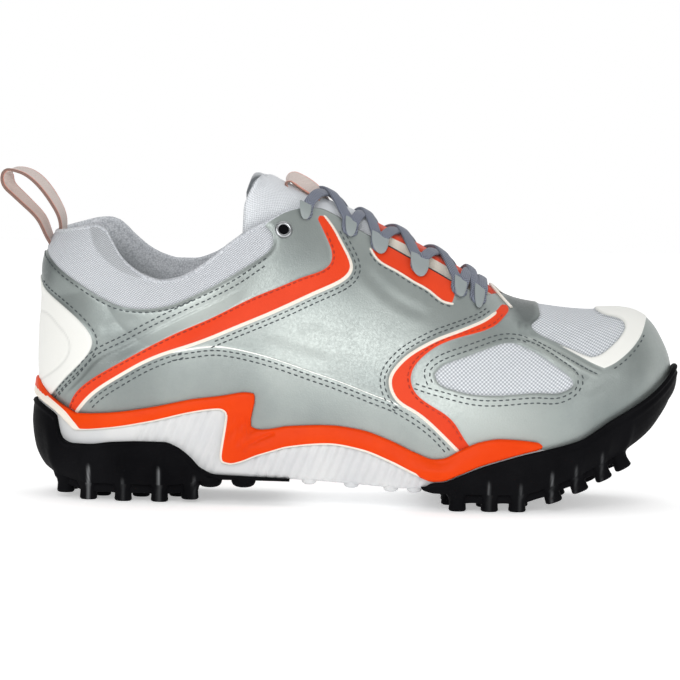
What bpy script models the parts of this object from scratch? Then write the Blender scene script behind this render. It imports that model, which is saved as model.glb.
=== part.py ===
"""Turf shoe for the right foot: a hollow upper on its last, a cup sole with studs, laces and trim.

All tables are in millimetres in the shoe's own frame: x runs from the heel to the toe, y to the medial
side and z up from the floor. A point of the upper is found from its station (the angle a along the shoe,
0 at the heel and pi at the toe), its side and its height share f between footbed and ridge.
"""

import math

import bmesh
import bpy
import numpy as np
from mathutils import Matrix, Vector

NAME = "turf_shoe"
MM = 0.001
GAP = 0.3
LATERAL = -1
MEDIAL = 1
SIDES = {"lateral": LATERAL, "medial": MEDIAL}


def table(columns, *rows):
    """A short table as one array for each named column."""
    return dict(zip(columns.split(), np.array(rows, float).T))


# Overall sizes
HEEL_END = 5.0
TOE_END = 286.0
THROAT_END = 215.5
ORIGIN = (138.6, -0.1)

# Walls and layers
WALL = 2.2
COLLAR_WALL = 7.0
COLLAR_PAD = 1.8
COLLAR_PAD_DEPTH = 32.0
COLLAR_PAD_ENDS = (80.0, 106.0)
PADDING = table("below share", (0, 0.15), (4, 0.65), (9, 1), (17, 1), (40, 0))
OVERLAY = 1.0
TOE_CAP_OFF = 1.6
HEEL_PATCH_OFF = 0.7
INSOLE = 4.0
INSOLE_INSET = 3.4
TONGUE = 4.5
TONGUE_UNDER = 3.6
RIDGE_SHIFT = 1.5
HEEL_LEAN_FROM = 104.0
HEEL_LEAN = 5.0 / 22.0**2
HEEL_LEAN_REACH = 60.0

# Outline of the last at the footbed, either side of the middle line
PLAN = table(
    "x lateral medial",
    (5, 0, 0),
    (10, 17, 16.5),
    (25, 29, 28),
    (50, 33, 31),
    (85, 34, 28.5),
    (120, 37, 28),
    (155, 42, 33.5),
    (190, 46.5, 42),
    (215, 46, 46),
    (240, 41, 46),
    (260, 31.5, 42.5),
    (275, 18, 35),
    (283, 2, 24.5),
    (286, -12, 12),
)

# Heights along the shoe: footbed, underside of the outsole, underside of the midsole
LEVELS = table(
    "x bed plate core",
    (5, 31, 14, 18.5),
    (14, 30.5, 10.3, 14.8),
    (26, 30, 8, 12.4),
    (60, 29, 8, 12.3),
    (85, 28, 9.4, 12.6),
    (120, 25, 10.4, 12.2),
    (155, 21.5, 9.2, 10.6),
    (178, 19.2, 8.2, 10.2),
    (195, 18.3, 8, 12.3),
    (222, 18.8, 8, 12.3),
    (239, 22.3, 12.6, 16.4),
    (250, 26, 17, 20.6),
    (262, 31.2, 23.2, 26.5),
    (272, 37.4, 29.8, 33),
    (280, 43.5, 36, 39.2),
    (286, 49, 43, 46),
)

# Height of the ridge; behind the throat it is the crown of the foot inside
RIDGE = table(
    "x top",
    (5, 175),
    (40, 172),
    (75, 166),
    (100, 156),
    (120, 146),
    (135, 138),
    (152, 127),
    (171, 117.5),
    (190, 108),
    (208, 99.3),
    (218, 95.6),
    (230, 93.2),
    (245, 91.3),
    (257, 90.7),
    (266, 91),
    (274, 89.7),
    (280, 86),
    (284, 81),
    (286, 75),
)

# Section form: outward bulge, height share of the bulge, squareness, ridge offset to the medial side
FORM = table(
    "x bulge peak square ridge_y",
    (5, 4.6, 0.25, 2.6, 0),
    (40, 3.4, 0.25, 2.7, 0),
    (85, 2.0, 0.25, 2.5, 0.6),
    (120, 1.4, 0.3, 2.25, 1.5),
    (155, 1.5, 0.35, 2.05, 2),
    (190, 2.4, 0.38, 2.1, 2),
    (215, 3.0, 0.4, 2.2, 2.5),
    (240, 3.4, 0.42, 2.4, 4.5),
    (265, 4.0, 0.45, 2.5, 8.5),
    (286, 4.8, 0.5, 2.5, 12),
)

# Height of the collar and throat edge on each side
COLLAR = table(
    "x lateral medial",
    (5, 124, 124),
    (16, 126.5, 126.5),
    (24, 128, 128),
    (29, 126.5, 128.2),
    (34, 120.5, 127),
    (38, 114.5, 124.5),
    (43, 109.5, 120),
    (50, 105.3, 114.5),
    (57, 103.3, 111),
    (64, 103, 109.3),
    (71, 104, 109.2),
    (80, 107.5, 111.5),
    (89, 113.3, 116),
    (98, 120.3, 122),
    (107, 127.5, 128.5),
    (114, 132.8, 133.3),
    (121, 136.3, 136.3),
    (128, 136.6, 136.6),
    (140, 128.5, 128.5),
    (155, 119, 119),
    (171, 112, 112),
    (192, 102.2, 102.2),
    (206, 97.6, 97.6),
    (213, 96.6, 96.6),
    (215.5, 96.5, 96.5),
)

# Sole layers: orange frame between its two lines, black rubber under its own line, rim of the white cup
FRAME_LINES = table(
    "x top low",
    (5, 54.5, 46),
    (9, 48.5, 43.3),
    (13, 45, 40.3),
    (17.5, 42, 35.5),
    (21, 40.2, 32.2),
    (34, 41, 33.5),
    (53, 44, 37),
    (71, 48, 41.5),
    (81, 50, 43.5),
    (84, 50.6, 41.5),
    (85.5, 50.9, 32),
    (87, 51.2, 22),
    (89, 51.6, 19.6),
    (93, 52, 20.4),
    (97.2, 51.6, 21.8),
    (99.2, 48, 22.4),
    (100.6, 40, 22.8),
    (102.4, 36, 23.4),
    (106, 35, 24.4),
    (117, 37, 27.2),
    (136, 38, 29),
    (150, 36.5, 27),
    (164, 32, 22),
    (176, 26.6, 16.5),
    (184, 24, 13.7),
    (188, 24.4, 14),
    (196, 28.5, 17.3),
    (205, 32.5, 21.3),
    (214, 34, 24.3),
    (224, 33.4, 27.3),
    (235, 31.8, 30),
)
HEEL_RUBBER = table(
    "x top",
    (5, 43.3),
    (8, 41),
    (10.6, 39.4),
    (11.6, 30),
    (13.5, 27),
    (17, 26),
    (26, 26.2),
    (36, 27.6),
    (50, 28.3),
    (60, 28.2),
    (66, 26),
    (72, 21.5),
    (77, 16.5),
    (84, 13.6),
    (95, 13.2),
    (118, 12.6),
)
FORE_RUBBER = table(
    "x top",
    (180, 11.2),
    (184, 13.1),
    (188, 13.4),
    (196, 16.7),
    (205, 20.7),
    (214, 23.7),
    (224, 26.7),
    (235, 29.3),
    (243, 31.3),
    (250, 33.6),
    (257, 38),
    (262, 41.6),
    (270, 47),
    (278, 53.4),
    (283, 58),
    (286, 62),
)
CUP_RIM = table(
    "x top",
    (5, 51),
    (12, 44),
    (21, 38.4),
    (34, 39.2),
    (53, 42.2),
    (75, 46.8),
    (86, 47.2),
    (92, 44),
    (97, 36.5),
    (103, 33.6),
    (117, 35),
    (136, 36),
    (150, 34.5),
    (164, 30),
    (176, 25),
    (187, 22.6),
    (196, 26.3),
    (205, 29.8),
    (224, 30.4),
    (235, 29),
    (250, 32.4),
    (262, 39.6),
    (270, 45),
    (278, 51.4),
    (286, 59.5),
)
CUP_IN = 0.6
CUP_OUT = table("place out", (0, 1.0), (1, 3.0), (2, 1.4))
RUBBER_OUT = table("place out", (1, 5.2), (2, 3.1))
SOLE_ROUND = 3.8
SOLE_ROUND_HEIGHT = 10.0
FRAME_CROWN = 0.5
HEEL_RUBBER_END = 118.0
FORE_RUBBER_START = 180.0
FRAME_END = 235.0

# Stations shared by all sole pieces, close together at the ends and at the frame's steps
SOLE_STATIONS = np.array(
    [5, 5.8, 7.8, 10.6, 11.6, 13.5, 17.5, 21, 27, 34, 43, 53, 66, 72, 81, 84, 85.5, 87, 90]
    + [97.2, 99.2, 100.6, 102.4, 106, 118, 136, 150, 164, 176, 180, 184, 196, 205, 214, 224]
    + [235, 243, 250, 257, 262, 267, 272, 277, 281, 284, 286]
)
# Studs: each edge stud leans out and has a rib up the side wall, inner studs stand straight
STUD_HEIGHT = 8.0
STUD_TIP = 3.4
STUD_ROOT = 4.6
STUD_SIDES = 6
STUD_SUNK = 1.5
SLOPE_STEP = 2.0
TOE_SPRING_START = 226.0
EDGE_STUD = {"foot_out": -3.0, "head_out": -2.4}
RIB = {"low": 0.6, "high": 9.0, "under_top": 1.2, "foot": 1.7, "head": 1.2, "sides": 4}
HEEL_EDGE = (12, 24, 41, 58, 72)
FORE_EDGE = (192, 206, 220, 234, 247, 259, 270)
WAIST_LUGS = (84, 98)
WAIST_LUG = {"height": 4.0, "tip": 4.2, "root": 5.2, "out": -2.5, "sunk": 1.2}
INNER_STUDS = table(
    "x y",
    (16, 0),
    (31, -9),
    (31, 9),
    (49, -10),
    (49, 9),
    (66, -10),
    (66, 8),
    (192, -18),
    (192, 0),
    (192, 18),
    (208, -24),
    (208, -7),
    (208, 11),
    (208, 28),
    (224, -20),
    (224, -2),
    (224, 16),
    (239, -18),
    (239, 1),
    (239, 21),
    (253, -6),
    (253, 14),
    (265, 6),
    (265, 22),
)
BAR = {"width": 2.6, "drop": 3.6, "rise": 1.2, "out": -1.4}

# Overlays on the upper, each between two height lines
TOE_CAP = table(
    "x low high",
    (250, 35.0, 46),
    (256, 39.3, 57),
    (261, 42.6, 65.5),
    (266, 46, 73),
    (271, 49.8, 81),
    (276, 53.8, 91),
    (281, 58, 93),
    (286, 64, 93),
)
SADDLE = table(
    "x low high",
    (24, 43, 49.5),
    (34, 42.5, 54),
    (57, 45.8, 64.5),
    (82, 51.5, 71),
    (96, 53.4, 71.2),
    (104, 45, 69.6),
    (112, 39.6, 67),
    (140, 39.4, 58),
    (155, 37, 50),
    (165, 33.6, 43),
    (174, 29.6, 35),
)
HEEL_PATCH = table(
    "x low high",
    (5, 57.5, 96),
    (9, 55.5, 91.5),
    (14, 58.5, 86),
    (20, 64.2, 79),
    (25, 69, 73),
)
EYESTAY = table(
    "x low high",
    (151, 109.5, 119.6),
    (160, 105, 114.8),
    (175, 98.6, 108.3),
    (190, 92, 101.2),
    (200, 90, 97.8),
    (208, 91.2, 95.4),
)
STRIPE_REAR = table(
    "x z half",
    (18, 47.2, 2.0),
    (29, 58.2, 2.7),
    (52, 72.8, 3.3),
    (75, 83.8, 3.8),
    (98, 94.5, 4.2),
    (120, 103.6, 4.4),
    (133, 109.4, 4.3),
    (139.5, 116, 3.6),
    (137.5, 122.5, 2.8),
    (133, 128.5, 1.8),
)
STRIPE_FORE = table(
    "x z half",
    (210.5, 88.6, 2.4),
    (205, 84.6, 2.9),
    (197, 81.1, 3.2),
    (184, 75.4, 3.3),
    (172.5, 68.3, 3.4),
    (166.5, 59.9, 3.3),
    (166.8, 53, 3.1),
    (171.3, 46.2, 3),
    (179.7, 39.6, 2.8),
    (188.5, 33, 2.6),
)

# Lace rows: station and height of the webbing tab on each side
TABS = table(
    "x z",
    (204.5, 92.8),
    (190, 96.4),
    (176, 103),
    (162, 109.4),
    (147.2, 117.2),
    (122, 129.6),
)
TAB = {"width": 5.6, "half_span": 5.4, "rise": 5.6, "thick": 1.0, "off": 1.7}
LACE_RADIUS = 1.8
LACE_OFF = 4.4
LACE_SINK = 2.2
LACE_CLEAR = 6.3
LACE_POINTS = 7
EYELET = {"x": 112.0, "z": 125.8, "ring": 2.9, "wire": 0.9, "hole": 2.0, "depth": 14.0}

# Tongue rows above the throat: middle line and the wing on either side
TONGUE_ROWS = (209, 191, 172, 157, 144)
TONGUE_REACH = (15, 21, 24, 24, 22)
TONGUE_TOP = table(
    "x z wing_x lateral medial wing_z",
    (125, 138.6, 108, 20.5, 15, 114),
    (115.5, 144.6, 99.5, 21, 16, 122),
    (110, 148.2, 96.5, 22.5, 19, 134),
    (107, 150.2, 95.5, 23.5, 22, 144),
    (105.5, 151.2, 95.8, 23, 22, 149.5),
)

# Webbing loops, as paths in the middle plane
PULL_LOOP = table(
    "x z",
    (-0.5, 107.5),
    (0.3, 112),
    (1.6, 116),
    (2.2, 120.5),
    (0.2, 127),
    (-5.5, 133.5),
    (-12, 139.5),
    (-16, 145),
    (-15.2, 149),
    (-11, 149.8),
    (-4, 147.2),
    (2, 141.5),
    (6.6, 134.5),
    (9.4, 129),
    (9.9, 125),
)
PULL_LOOP_STRIP = {"width": 13.0, "thick": 1.5}
TONGUE_LOOP = table(
    "x z",
    (131.5, 137.6),
    (129.5, 141),
    (124.5, 145.6),
    (119, 148.8),
    (115.4, 149.4),
    (113.8, 147.6),
)
TONGUE_LOOP_STRIP = {"width": 12.0, "thick": 1.3}

# Mesh resolution
HEEL_TO_THROAT = 32
THROAT_TO_TOE = 14
RIBBON_POINTS = 20
TONGUE_ACROSS = 9
TONGUE_ALONG = 16
UPPER_ROWS = np.array([0, 0.15, 0.32, 0.5, 0.68, 0.82, 0.92, 1.0])

FINISHES = {
    "silver_leather": ((0.40, 0.44, 0.43), 0.38, 0.35),
    "orange_film": ((1.0, 0.08, 0.016), 0.45, 0.0),
    "orange_plastic": ((1.0, 0.07, 0.004), 0.35, 0.0),
    "white_foam": ((0.80, 0.80, 0.84), 0.55, 0.0),
    "white_leather": ((0.90, 0.90, 0.87), 0.45, 0.0),
    "black_rubber": ((0.008, 0.008, 0.009), 0.5, 0.0),
    "grey_mesh": ((0.68, 0.70, 0.74), 0.8, 0.0),
    "grey_webbing": ((0.30, 0.32, 0.38), 0.75, 0.0),
    "pale_webbing": ((0.85, 0.74, 0.70), 0.75, 0.0),
    "lining": ((0.38, 0.40, 0.41), 0.9, 0.0),
    "nickel": ((0.75, 0.75, 0.75), 0.25, 1.0),
}


def spline(x, xs, ys):
    """Natural cubic spline through the points of a table."""
    x = np.asarray(x, float)
    steps = np.diff(xs)
    slopes = np.diff(ys) / steps
    count = len(xs)
    system = np.eye(count)
    right = np.zeros(count)
    for i in range(1, count - 1):
        system[i, i - 1 : i + 2] = steps[i - 1], 2 * (steps[i - 1] + steps[i]), steps[i]
        right[i] = 6 * (slopes[i] - slopes[i - 1])
    bend = np.linalg.solve(system, right)
    i = np.clip(np.searchsorted(xs, x) - 1, 0, count - 2)
    t = x - xs[i]
    first = slopes[i] - steps[i] * (2 * bend[i] + bend[i + 1]) / 6
    return ys[i] + t * first + t**2 * bend[i] / 2 + t**3 * (bend[i + 1] - bend[i]) / (6 * steps[i])


def line(x, xs, ys):
    """Smooth line through the points of a table that never overshoots between two of them."""
    x = np.clip(np.asarray(x, float), xs[0], xs[-1])
    steps = np.diff(xs)
    slopes = np.diff(ys) / steps
    inner = np.where(
        slopes[:-1] * slopes[1:] > 0,
        2 * slopes[:-1] * slopes[1:] / (slopes[:-1] + slopes[1:] + 1e-12 * np.sign(slopes[:-1])),
        0.0,
    )
    lean = np.concatenate([slopes[:1], inner, slopes[-1:]])
    i = np.clip(np.searchsorted(xs, x) - 1, 0, len(xs) - 2)
    t = (x - xs[i]) / steps[i]
    rise = ys[i] + (ys[i + 1] - ys[i]) * t * t * (3 - 2 * t)
    bow = steps[i] * t * (1 - t) * (lean[i] * (1 - t) - lean[i + 1] * t)
    return rise + bow


def angle_of(x):
    """Station angle of a place along the footbed."""
    return np.arccos(np.clip(1 - 2 * (np.asarray(x, float) - HEEL_END) / (TOE_END - HEEL_END), -1, 1))


def along(a):
    """Place along the footbed of a station angle."""
    return HEEL_END + (TOE_END - HEEL_END) * (1 - np.cos(a)) / 2


def column(side):
    return "lateral" if side == LATERAL else "medial"


def plan_y(a, side):
    return side * spline(a, angle_of(PLAN["x"]), PLAN[column(side)])


def plan_normal(a, side):
    """Outward direction of the footbed outline, in the plan."""
    step = 0.004
    before = np.clip(a - step, 0, math.pi)
    after = np.clip(a + step, 0, math.pi)
    dx = along(after) - along(before)
    dy = plan_y(after, side) - plan_y(before, side)
    size = np.hypot(dx, dy)
    at_heel = np.asarray(a) < 1e-6
    at_toe = np.asarray(a) > math.pi - 1e-6
    normal_x = np.where(at_heel, -1.0, np.where(at_toe, 1.0, -side * dy / size))
    normal_y = np.where(at_heel | at_toe, 0.0, side * dx / size)
    return normal_x, normal_y


def bed_of(a):
    return spline(along(a), LEVELS["x"], LEVELS["bed"])


def plate_of(x):
    """Height of the outsole's underside, level where the shoe stands."""
    return line(x, LEVELS["x"], LEVELS["plate"])


def ridge_of(a):
    return spline(a, angle_of(RIDGE["x"]), RIDGE["top"])


def square_of(a):
    return spline(along(a), FORM["x"], FORM["square"])


def edge_of(a, side):
    """Height of the collar and throat edge."""
    return line(along(a), COLLAR["x"], COLLAR[column(side)])


def share_of(a, z):
    """Height share of a height at a station."""
    return np.clip((z - bed_of(a)) / (ridge_of(a) - bed_of(a)), 0, 1)


def fade(x, start, end):
    """1 before start, 0 after end, smooth between."""
    t = np.clip((x - start) / (end - start), 0, 1)
    return 1 - t * t * (3 - 2 * t)


def body(a, side, f, out=0.0):
    """Point of the outside of the upper, moved out in the plan."""
    a, f, out = np.broadcast_arrays(np.asarray(a, float), np.asarray(f, float), np.asarray(out, float))
    x = along(a)
    square = square_of(a)
    middle = spline(x, FORM["x"], FORM["ridge_y"])
    y = middle + (plan_y(a, side) - middle) * (1 - f**square) ** (1 / square)
    z = bed_of(a) + f * (ridge_of(a) - bed_of(a))
    peak = spline(x, FORM["x"], FORM["peak"])
    fall = 1 / peak - 1
    hump = f * (1 - f) ** fall / (peak * (1 - peak) ** fall)
    depth = np.clip((edge_of(a, side) - z) / COLLAR_PAD_DEPTH, 0, 1)
    pad = COLLAR_PAD * np.sin(math.pi * depth) * fade(x, *COLLAR_PAD_ENDS)
    out = out + spline(x, FORM["x"], FORM["bulge"]) * hump + pad
    normal_x, normal_y = plan_normal(a, side)
    lean = HEEL_LEAN * np.maximum(z - HEEL_LEAN_FROM, 0) ** 2
    lean = lean * np.clip(1 - (x - HEEL_END) / HEEL_LEAN_REACH, 0, 1) ** 2
    return np.stack([x + normal_x * out + lean, y + normal_y * out, z], axis=-1)


def normal_of(a, side, f):
    """Outward direction of the upper's surface."""
    a, f = np.broadcast_arrays(np.asarray(a, float), np.asarray(f, float))
    a = np.clip(a, 0.02, math.pi - 0.02)
    power = 2 / square_of(a)
    phi = np.arcsin(np.clip(f, 0.0, 1.0) ** (1 / power))
    phi = np.clip(phi, 0.03, math.pi / 2 - 0.02)
    step = 0.012
    along_a = body(a + step, side, np.sin(phi) ** power) - body(a - step, side, np.sin(phi) ** power)
    along_f = body(a, side, np.sin(phi + step) ** power) - body(a, side, np.sin(phi - step) ** power)
    normal = -side * np.cross(along_a, along_f)
    return normal / np.linalg.norm(normal, axis=-1, keepdims=True)


def raised(a, side, f, off):
    """Point of the upper's surface moved straight out by an offset."""
    off = np.asarray(off, float)[..., None]
    return body(a, side, f) + normal_of(a, side, f) * off


def wall(a, side, z, out):
    """Point beside the upper at a height, or straight below its footbed outline."""
    bed = bed_of(a)
    points = body(a, side, share_of(a, np.maximum(z, bed)), out)
    points[..., 2] = z
    return points


def cup_out(a, z):
    """How far the white cup stands out from the upper at a height."""
    x = along(a)
    bed = bed_of(a)
    rim = line(x, CUP_RIM["x"], CUP_RIM["top"])
    core = spline(x, LEVELS["x"], LEVELS["core"])
    place = np.where(z < bed, (z - core) / (bed - core), 1 + (z - bed) / (rim - bed))
    return np.interp(place, CUP_OUT["place"], CUP_OUT["out"])


def rubber_out(a, z):
    """How far the frame and the rubber stand out from the upper at a height."""
    x = along(a)
    bed = bed_of(a)
    rim = line(x, CUP_RIM["x"], CUP_RIM["top"])
    plate = plate_of(x)
    place = 1 + np.maximum(z - bed, 0) / (rim - bed)
    low = np.clip(1 - (z - plate) / SOLE_ROUND_HEIGHT, 0, 1)
    return np.interp(place, RUBBER_OUT["place"], RUBBER_OUT["out"]) - SOLE_ROUND * low**2


def add_object(name, mesh, finish):
    """Object of a mesh, in the shoe's collection, under its root and with its finish."""
    obj = bpy.data.objects.new(name, mesh)
    shoe_parts.objects.link(obj)
    obj.parent = root
    mesh.materials.append(materials[finish])
    mesh.shade_smooth()
    mesh.set_sharp_from_angle(angle=math.radians(40))
    return obj


def mesh_of(name, work):
    mesh = bpy.data.meshes.new(name)
    work.to_mesh(mesh)
    work.free()
    return mesh


def sheet(name, finish, grids, weld=0.2):
    """Open surface over grids of points given with their side, welded where they meet."""
    work = bmesh.new()
    for points, side in grids:
        rows, columns = points.shape[:2]
        verts = [work.verts.new(point) for point in points.reshape(-1, 3) * MM]
        for i in range(rows - 1):
            for j in range(columns - 1):
                here = i * columns + j
                corners = [here, here + columns, here + columns + 1, here + 1]
                work.faces.new([verts[k] for k in corners[:: -side]])
    bmesh.ops.remove_doubles(work, verts=work.verts, dist=weld * MM)
    bmesh.ops.dissolve_degenerate(work, edges=work.edges, dist=0.02 * MM)
    return add_object(name, mesh_of(name, work), finish)


def thicken(obj, thickness, offset):
    solid = obj.modifiers.new("thickness", "SOLIDIFY")
    solid.thickness = thickness * MM
    solid.offset = offset
    return solid


def loft(name, finish, rings, start_cap, end_cap):
    """Closed skin over a row of section rings, with a cap on each open end."""
    work = bmesh.new()
    count, size = rings.shape[:2]
    verts = [[work.verts.new(point) for point in ring * MM] for ring in rings]
    for i in range(count - 1):
        for j in range(size):
            k = (j + 1) % size
            work.faces.new([verts[i][j], verts[i + 1][j], verts[i + 1][k], verts[i][k]])
    if start_cap:
        work.faces.new(verts[0])
    if end_cap:
        work.faces.new(verts[-1][::-1])
    bmesh.ops.remove_doubles(work, verts=work.verts, dist=0.02 * MM)
    bmesh.ops.dissolve_degenerate(work, edges=work.edges, dist=0.01 * MM)
    bmesh.ops.recalc_face_normals(work, faces=work.faces)
    return add_object(name, mesh_of(name, work), finish)


def upper_angles():
    throat = angle_of(THROAT_END)
    back = np.linspace(0, throat, HEEL_TO_THROAT)
    front = np.linspace(throat, math.pi, THROAT_TO_TOE)
    return np.concatenate([back, front[1:]])


def make_upper():
    """Hollow upper: the last's skin up to the collar and throat edge, thickened inwards."""
    a = upper_angles()[:, None]
    grids = []
    pads = []
    for side in SIDES.values():
        edge = np.where(along(a) < THROAT_END - 0.01, share_of(a, edge_of(a, side)), 1.0)
        power = 2 / square_of(a)
        phi = np.arcsin(edge ** (1 / power)) * UPPER_ROWS
        f = np.sin(phi) ** power
        points = body(a, side, f)
        grids.append((points, side))
        below = edge_of(a, side) - points[..., 2]
        pad = np.interp(below, PADDING["below"], PADDING["share"]) * fade(along(a), *COLLAR_PAD_ENDS)
        pads.append((WALL + (COLLAR_WALL - WALL) * pad) / COLLAR_WALL)
    upper = sheet("upper", "silver_leather", grids)
    places = np.concatenate([points.reshape(-1, 3) for points, _ in grids]) * MM
    weights = np.concatenate([pad.reshape(-1) for pad in pads])
    group = upper.vertex_groups.new(name="padding")
    for vertex in upper.data.vertices:
        nearest = np.argmin(np.sum((places - np.array(vertex.co)) ** 2, axis=1))
        group.add([vertex.index], float(weights[nearest]), "REPLACE")
    solid = thicken(upper, COLLAR_WALL, -1)
    solid.vertex_group = "padding"
    for side_name, side in SIDES.items():
        a_hole = angle_of(EYELET["x"])
        f_hole = share_of(a_hole, EYELET["z"])
        cutter = hole_cutter("eyelet_hole_" + side_name, body(a_hole, side, f_hole))
        turn_to(cutter, normal_of(a_hole, side, f_hole))
        cut = upper.modifiers.new("eyelet_hole_" + side_name, "BOOLEAN")
        cut.object = cutter
        cut.operation = "DIFFERENCE"
    return upper


def hole_cutter(name, middle):
    """Cutter for an eyelet's hole: a cylinder centred on a point."""
    work = bmesh.new()
    bmesh.ops.create_cone(
        work,
        cap_ends=True,
        segments=10,
        radius1=EYELET["hole"] * MM,
        radius2=EYELET["hole"] * MM,
        depth=EYELET["depth"] * MM,
    )
    cutter = add_cutter(name, mesh_of(name, work))
    cutter.location = Vector(middle) * MM
    return cutter


def add_cutter(name, mesh):
    """Helper object for a boolean, kept in the cutters' collection and out of the render."""
    cutter = bpy.data.objects.new(name, mesh)
    cutters.objects.link(cutter)
    cutter.parent = root
    cutter.hide_render = True
    cutter.display_type = "WIRE"
    return cutter


def turn_to(obj, direction):
    obj.rotation_euler = Vector(direction).to_track_quat("Z", "Y").to_euler()


def make_insole():
    """Insole on the footbed, inside the upper."""
    a = np.linspace(0, math.pi, 21)[:, None]
    edges = [wall(a, side, bed_of(a), -INSOLE_INSET) for side in SIDES.values()]
    across = np.linspace(0, 1, 3)[None, :, None]
    points = edges[0] * (1 - across) + edges[1] * across
    insole = sheet("insole", "lining", [(points, LATERAL)])
    thicken(insole, INSOLE, 1)


def sole_angles(first, last):
    """Angles of the sole's stations between two places."""
    return angle_of(SOLE_STATIONS[(SOLE_STATIONS >= first) & (SOLE_STATIONS <= last)])


def make_midsole():
    """White cup: floor under the upper and a thin wall up its side."""
    a = sole_angles(HEEL_END, TOE_END)
    x = along(a)
    bed = bed_of(a)
    core = spline(x, LEVELS["x"], LEVELS["core"])
    rim = line(x, CUP_RIM["x"], CUP_RIM["top"])
    halves = {}
    for name, side in SIDES.items():
        outside = [wall(a, side, z, cup_out(a, z)) for z in (core, bed, (bed + rim) / 2, rim)]
        inside = [wall(a, side, z, np.full_like(a, CUP_IN)) for z in (rim, (bed + rim) / 2, bed - GAP)]
        halves[name] = outside + inside
    lateral = halves["lateral"]
    medial = halves["medial"]
    rings = lateral + [(lateral[-1] + medial[-1]) / 2] + medial[::-1] + [(lateral[0] + medial[0]) / 2]
    loft("midsole", "white_foam", np.stack(rings, axis=1), False, False)


def rubber_cup(name, a, top):
    """Black outsole part: plate with a side wall up to a line."""
    x = along(a)
    plate = plate_of(x)
    floor = spline(x, LEVELS["x"], LEVELS["core"]) - GAP
    top = np.maximum(top, floor + 0.4)
    halves = {}
    for side_name, side in SIDES.items():
        levels = [plate + (top - plate) * share for share in (1, 0.5, 0.18, 0)]
        outside = [wall(a, side, z, rubber_out(a, z)) for z in levels]
        bed = bed_of(a)
        rim = line(x, CUP_RIM["x"], CUP_RIM["top"])
        steps = [np.clip(z, floor + 0.1, top - 0.1) for z in (bed, (bed + rim) / 2)]
        inside = [wall(a, side, z, cup_out(a, z) + GAP) for z in (floor, *steps, top)]
        halves[side_name] = inside + outside
    rings = halves["lateral"] + halves["medial"][::-1]
    at_heel = a[0] < 0.001
    at_toe = a[-1] > math.pi - 0.001
    return loft(name, "black_rubber", np.stack(rings, axis=1), not at_heel, not at_toe)


def stud_mesh(work, foot, head, foot_radius, head_radius, tilt, sides=STUD_SIDES):
    """Add one stud: a frustum from its foot to its head, leaning, turned with the sole's slope."""
    made = bmesh.ops.create_cone(
        work,
        cap_ends=True,
        segments=sides,
        radius1=foot_radius * MM,
        radius2=head_radius * MM,
        depth=1.0,
    )
    lean = Vector(head - foot) * MM
    for vertex in made["verts"]:
        share = vertex.co.z + 0.5
        vertex.co = Vector((vertex.co.x, vertex.co.y, 0)) + lean * share
    bmesh.ops.rotate(work, verts=made["verts"], cent=lean, matrix=Matrix.Rotation(tilt, 3, "Y"))
    bmesh.ops.translate(work, verts=made["verts"], vec=Vector(foot) * MM)


def bar_mesh(work, start, end):
    """Add one low bar between two neighbouring edge studs."""
    run = Vector(end - start) * MM
    made = bmesh.ops.create_cube(work, size=1.0)
    height = (BAR["drop"] + BAR["rise"]) * MM
    bmesh.ops.scale(work, verts=made["verts"], vec=(run.length, BAR["width"] * MM, height))
    turn = run.to_track_quat("X", "Z").to_matrix()
    bmesh.ops.rotate(work, verts=made["verts"], cent=(0, 0, 0), matrix=turn)
    middle = Vector((start + end) / 2) * MM + Vector((0, 0, (BAR["rise"] - BAR["drop"]) / 2 * MM))
    bmesh.ops.translate(work, verts=made["verts"], vec=middle)


def slope_at(x):
    """Turn that keeps a stud square to the rising toe."""
    rise = plate_of(x + SLOPE_STEP) - plate_of(x - SLOPE_STEP)
    return -math.atan2(rise, 2 * SLOPE_STEP) if x > TOE_SPRING_START else 0.0


def edge_stud(x, side):
    """Foot and head of the edge stud at a station."""
    a = angle_of(x)
    foot = wall(a, side, plate_of(x) - STUD_HEIGHT, EDGE_STUD["foot_out"])
    head = wall(a, side, plate_of(x) + STUD_SUNK, EDGE_STUD["head_out"])
    return foot, head


def side_rib(x, side):
    """Ends of the rib that carries an edge stud up the side wall, under the rubber's top line."""
    a = angle_of(x)
    lines = HEEL_RUBBER if x < HEEL_RUBBER_END else FORE_RUBBER
    low = plate_of(x) + RIB["low"]
    high = min(plate_of(x) + RIB["high"], line(x, lines["x"], lines["top"]) - RIB["under_top"])
    return [wall(a, side, z, rubber_out(a, z)) for z in (low, high)]


def join_boolean(target, name, work):
    """Fuse loose shapes onto a piece."""
    fuse = target.modifiers.new(name, "BOOLEAN")
    fuse.object = add_cutter(name, mesh_of(name, work))
    fuse.operation = "UNION"
    fuse.use_self = True


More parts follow.
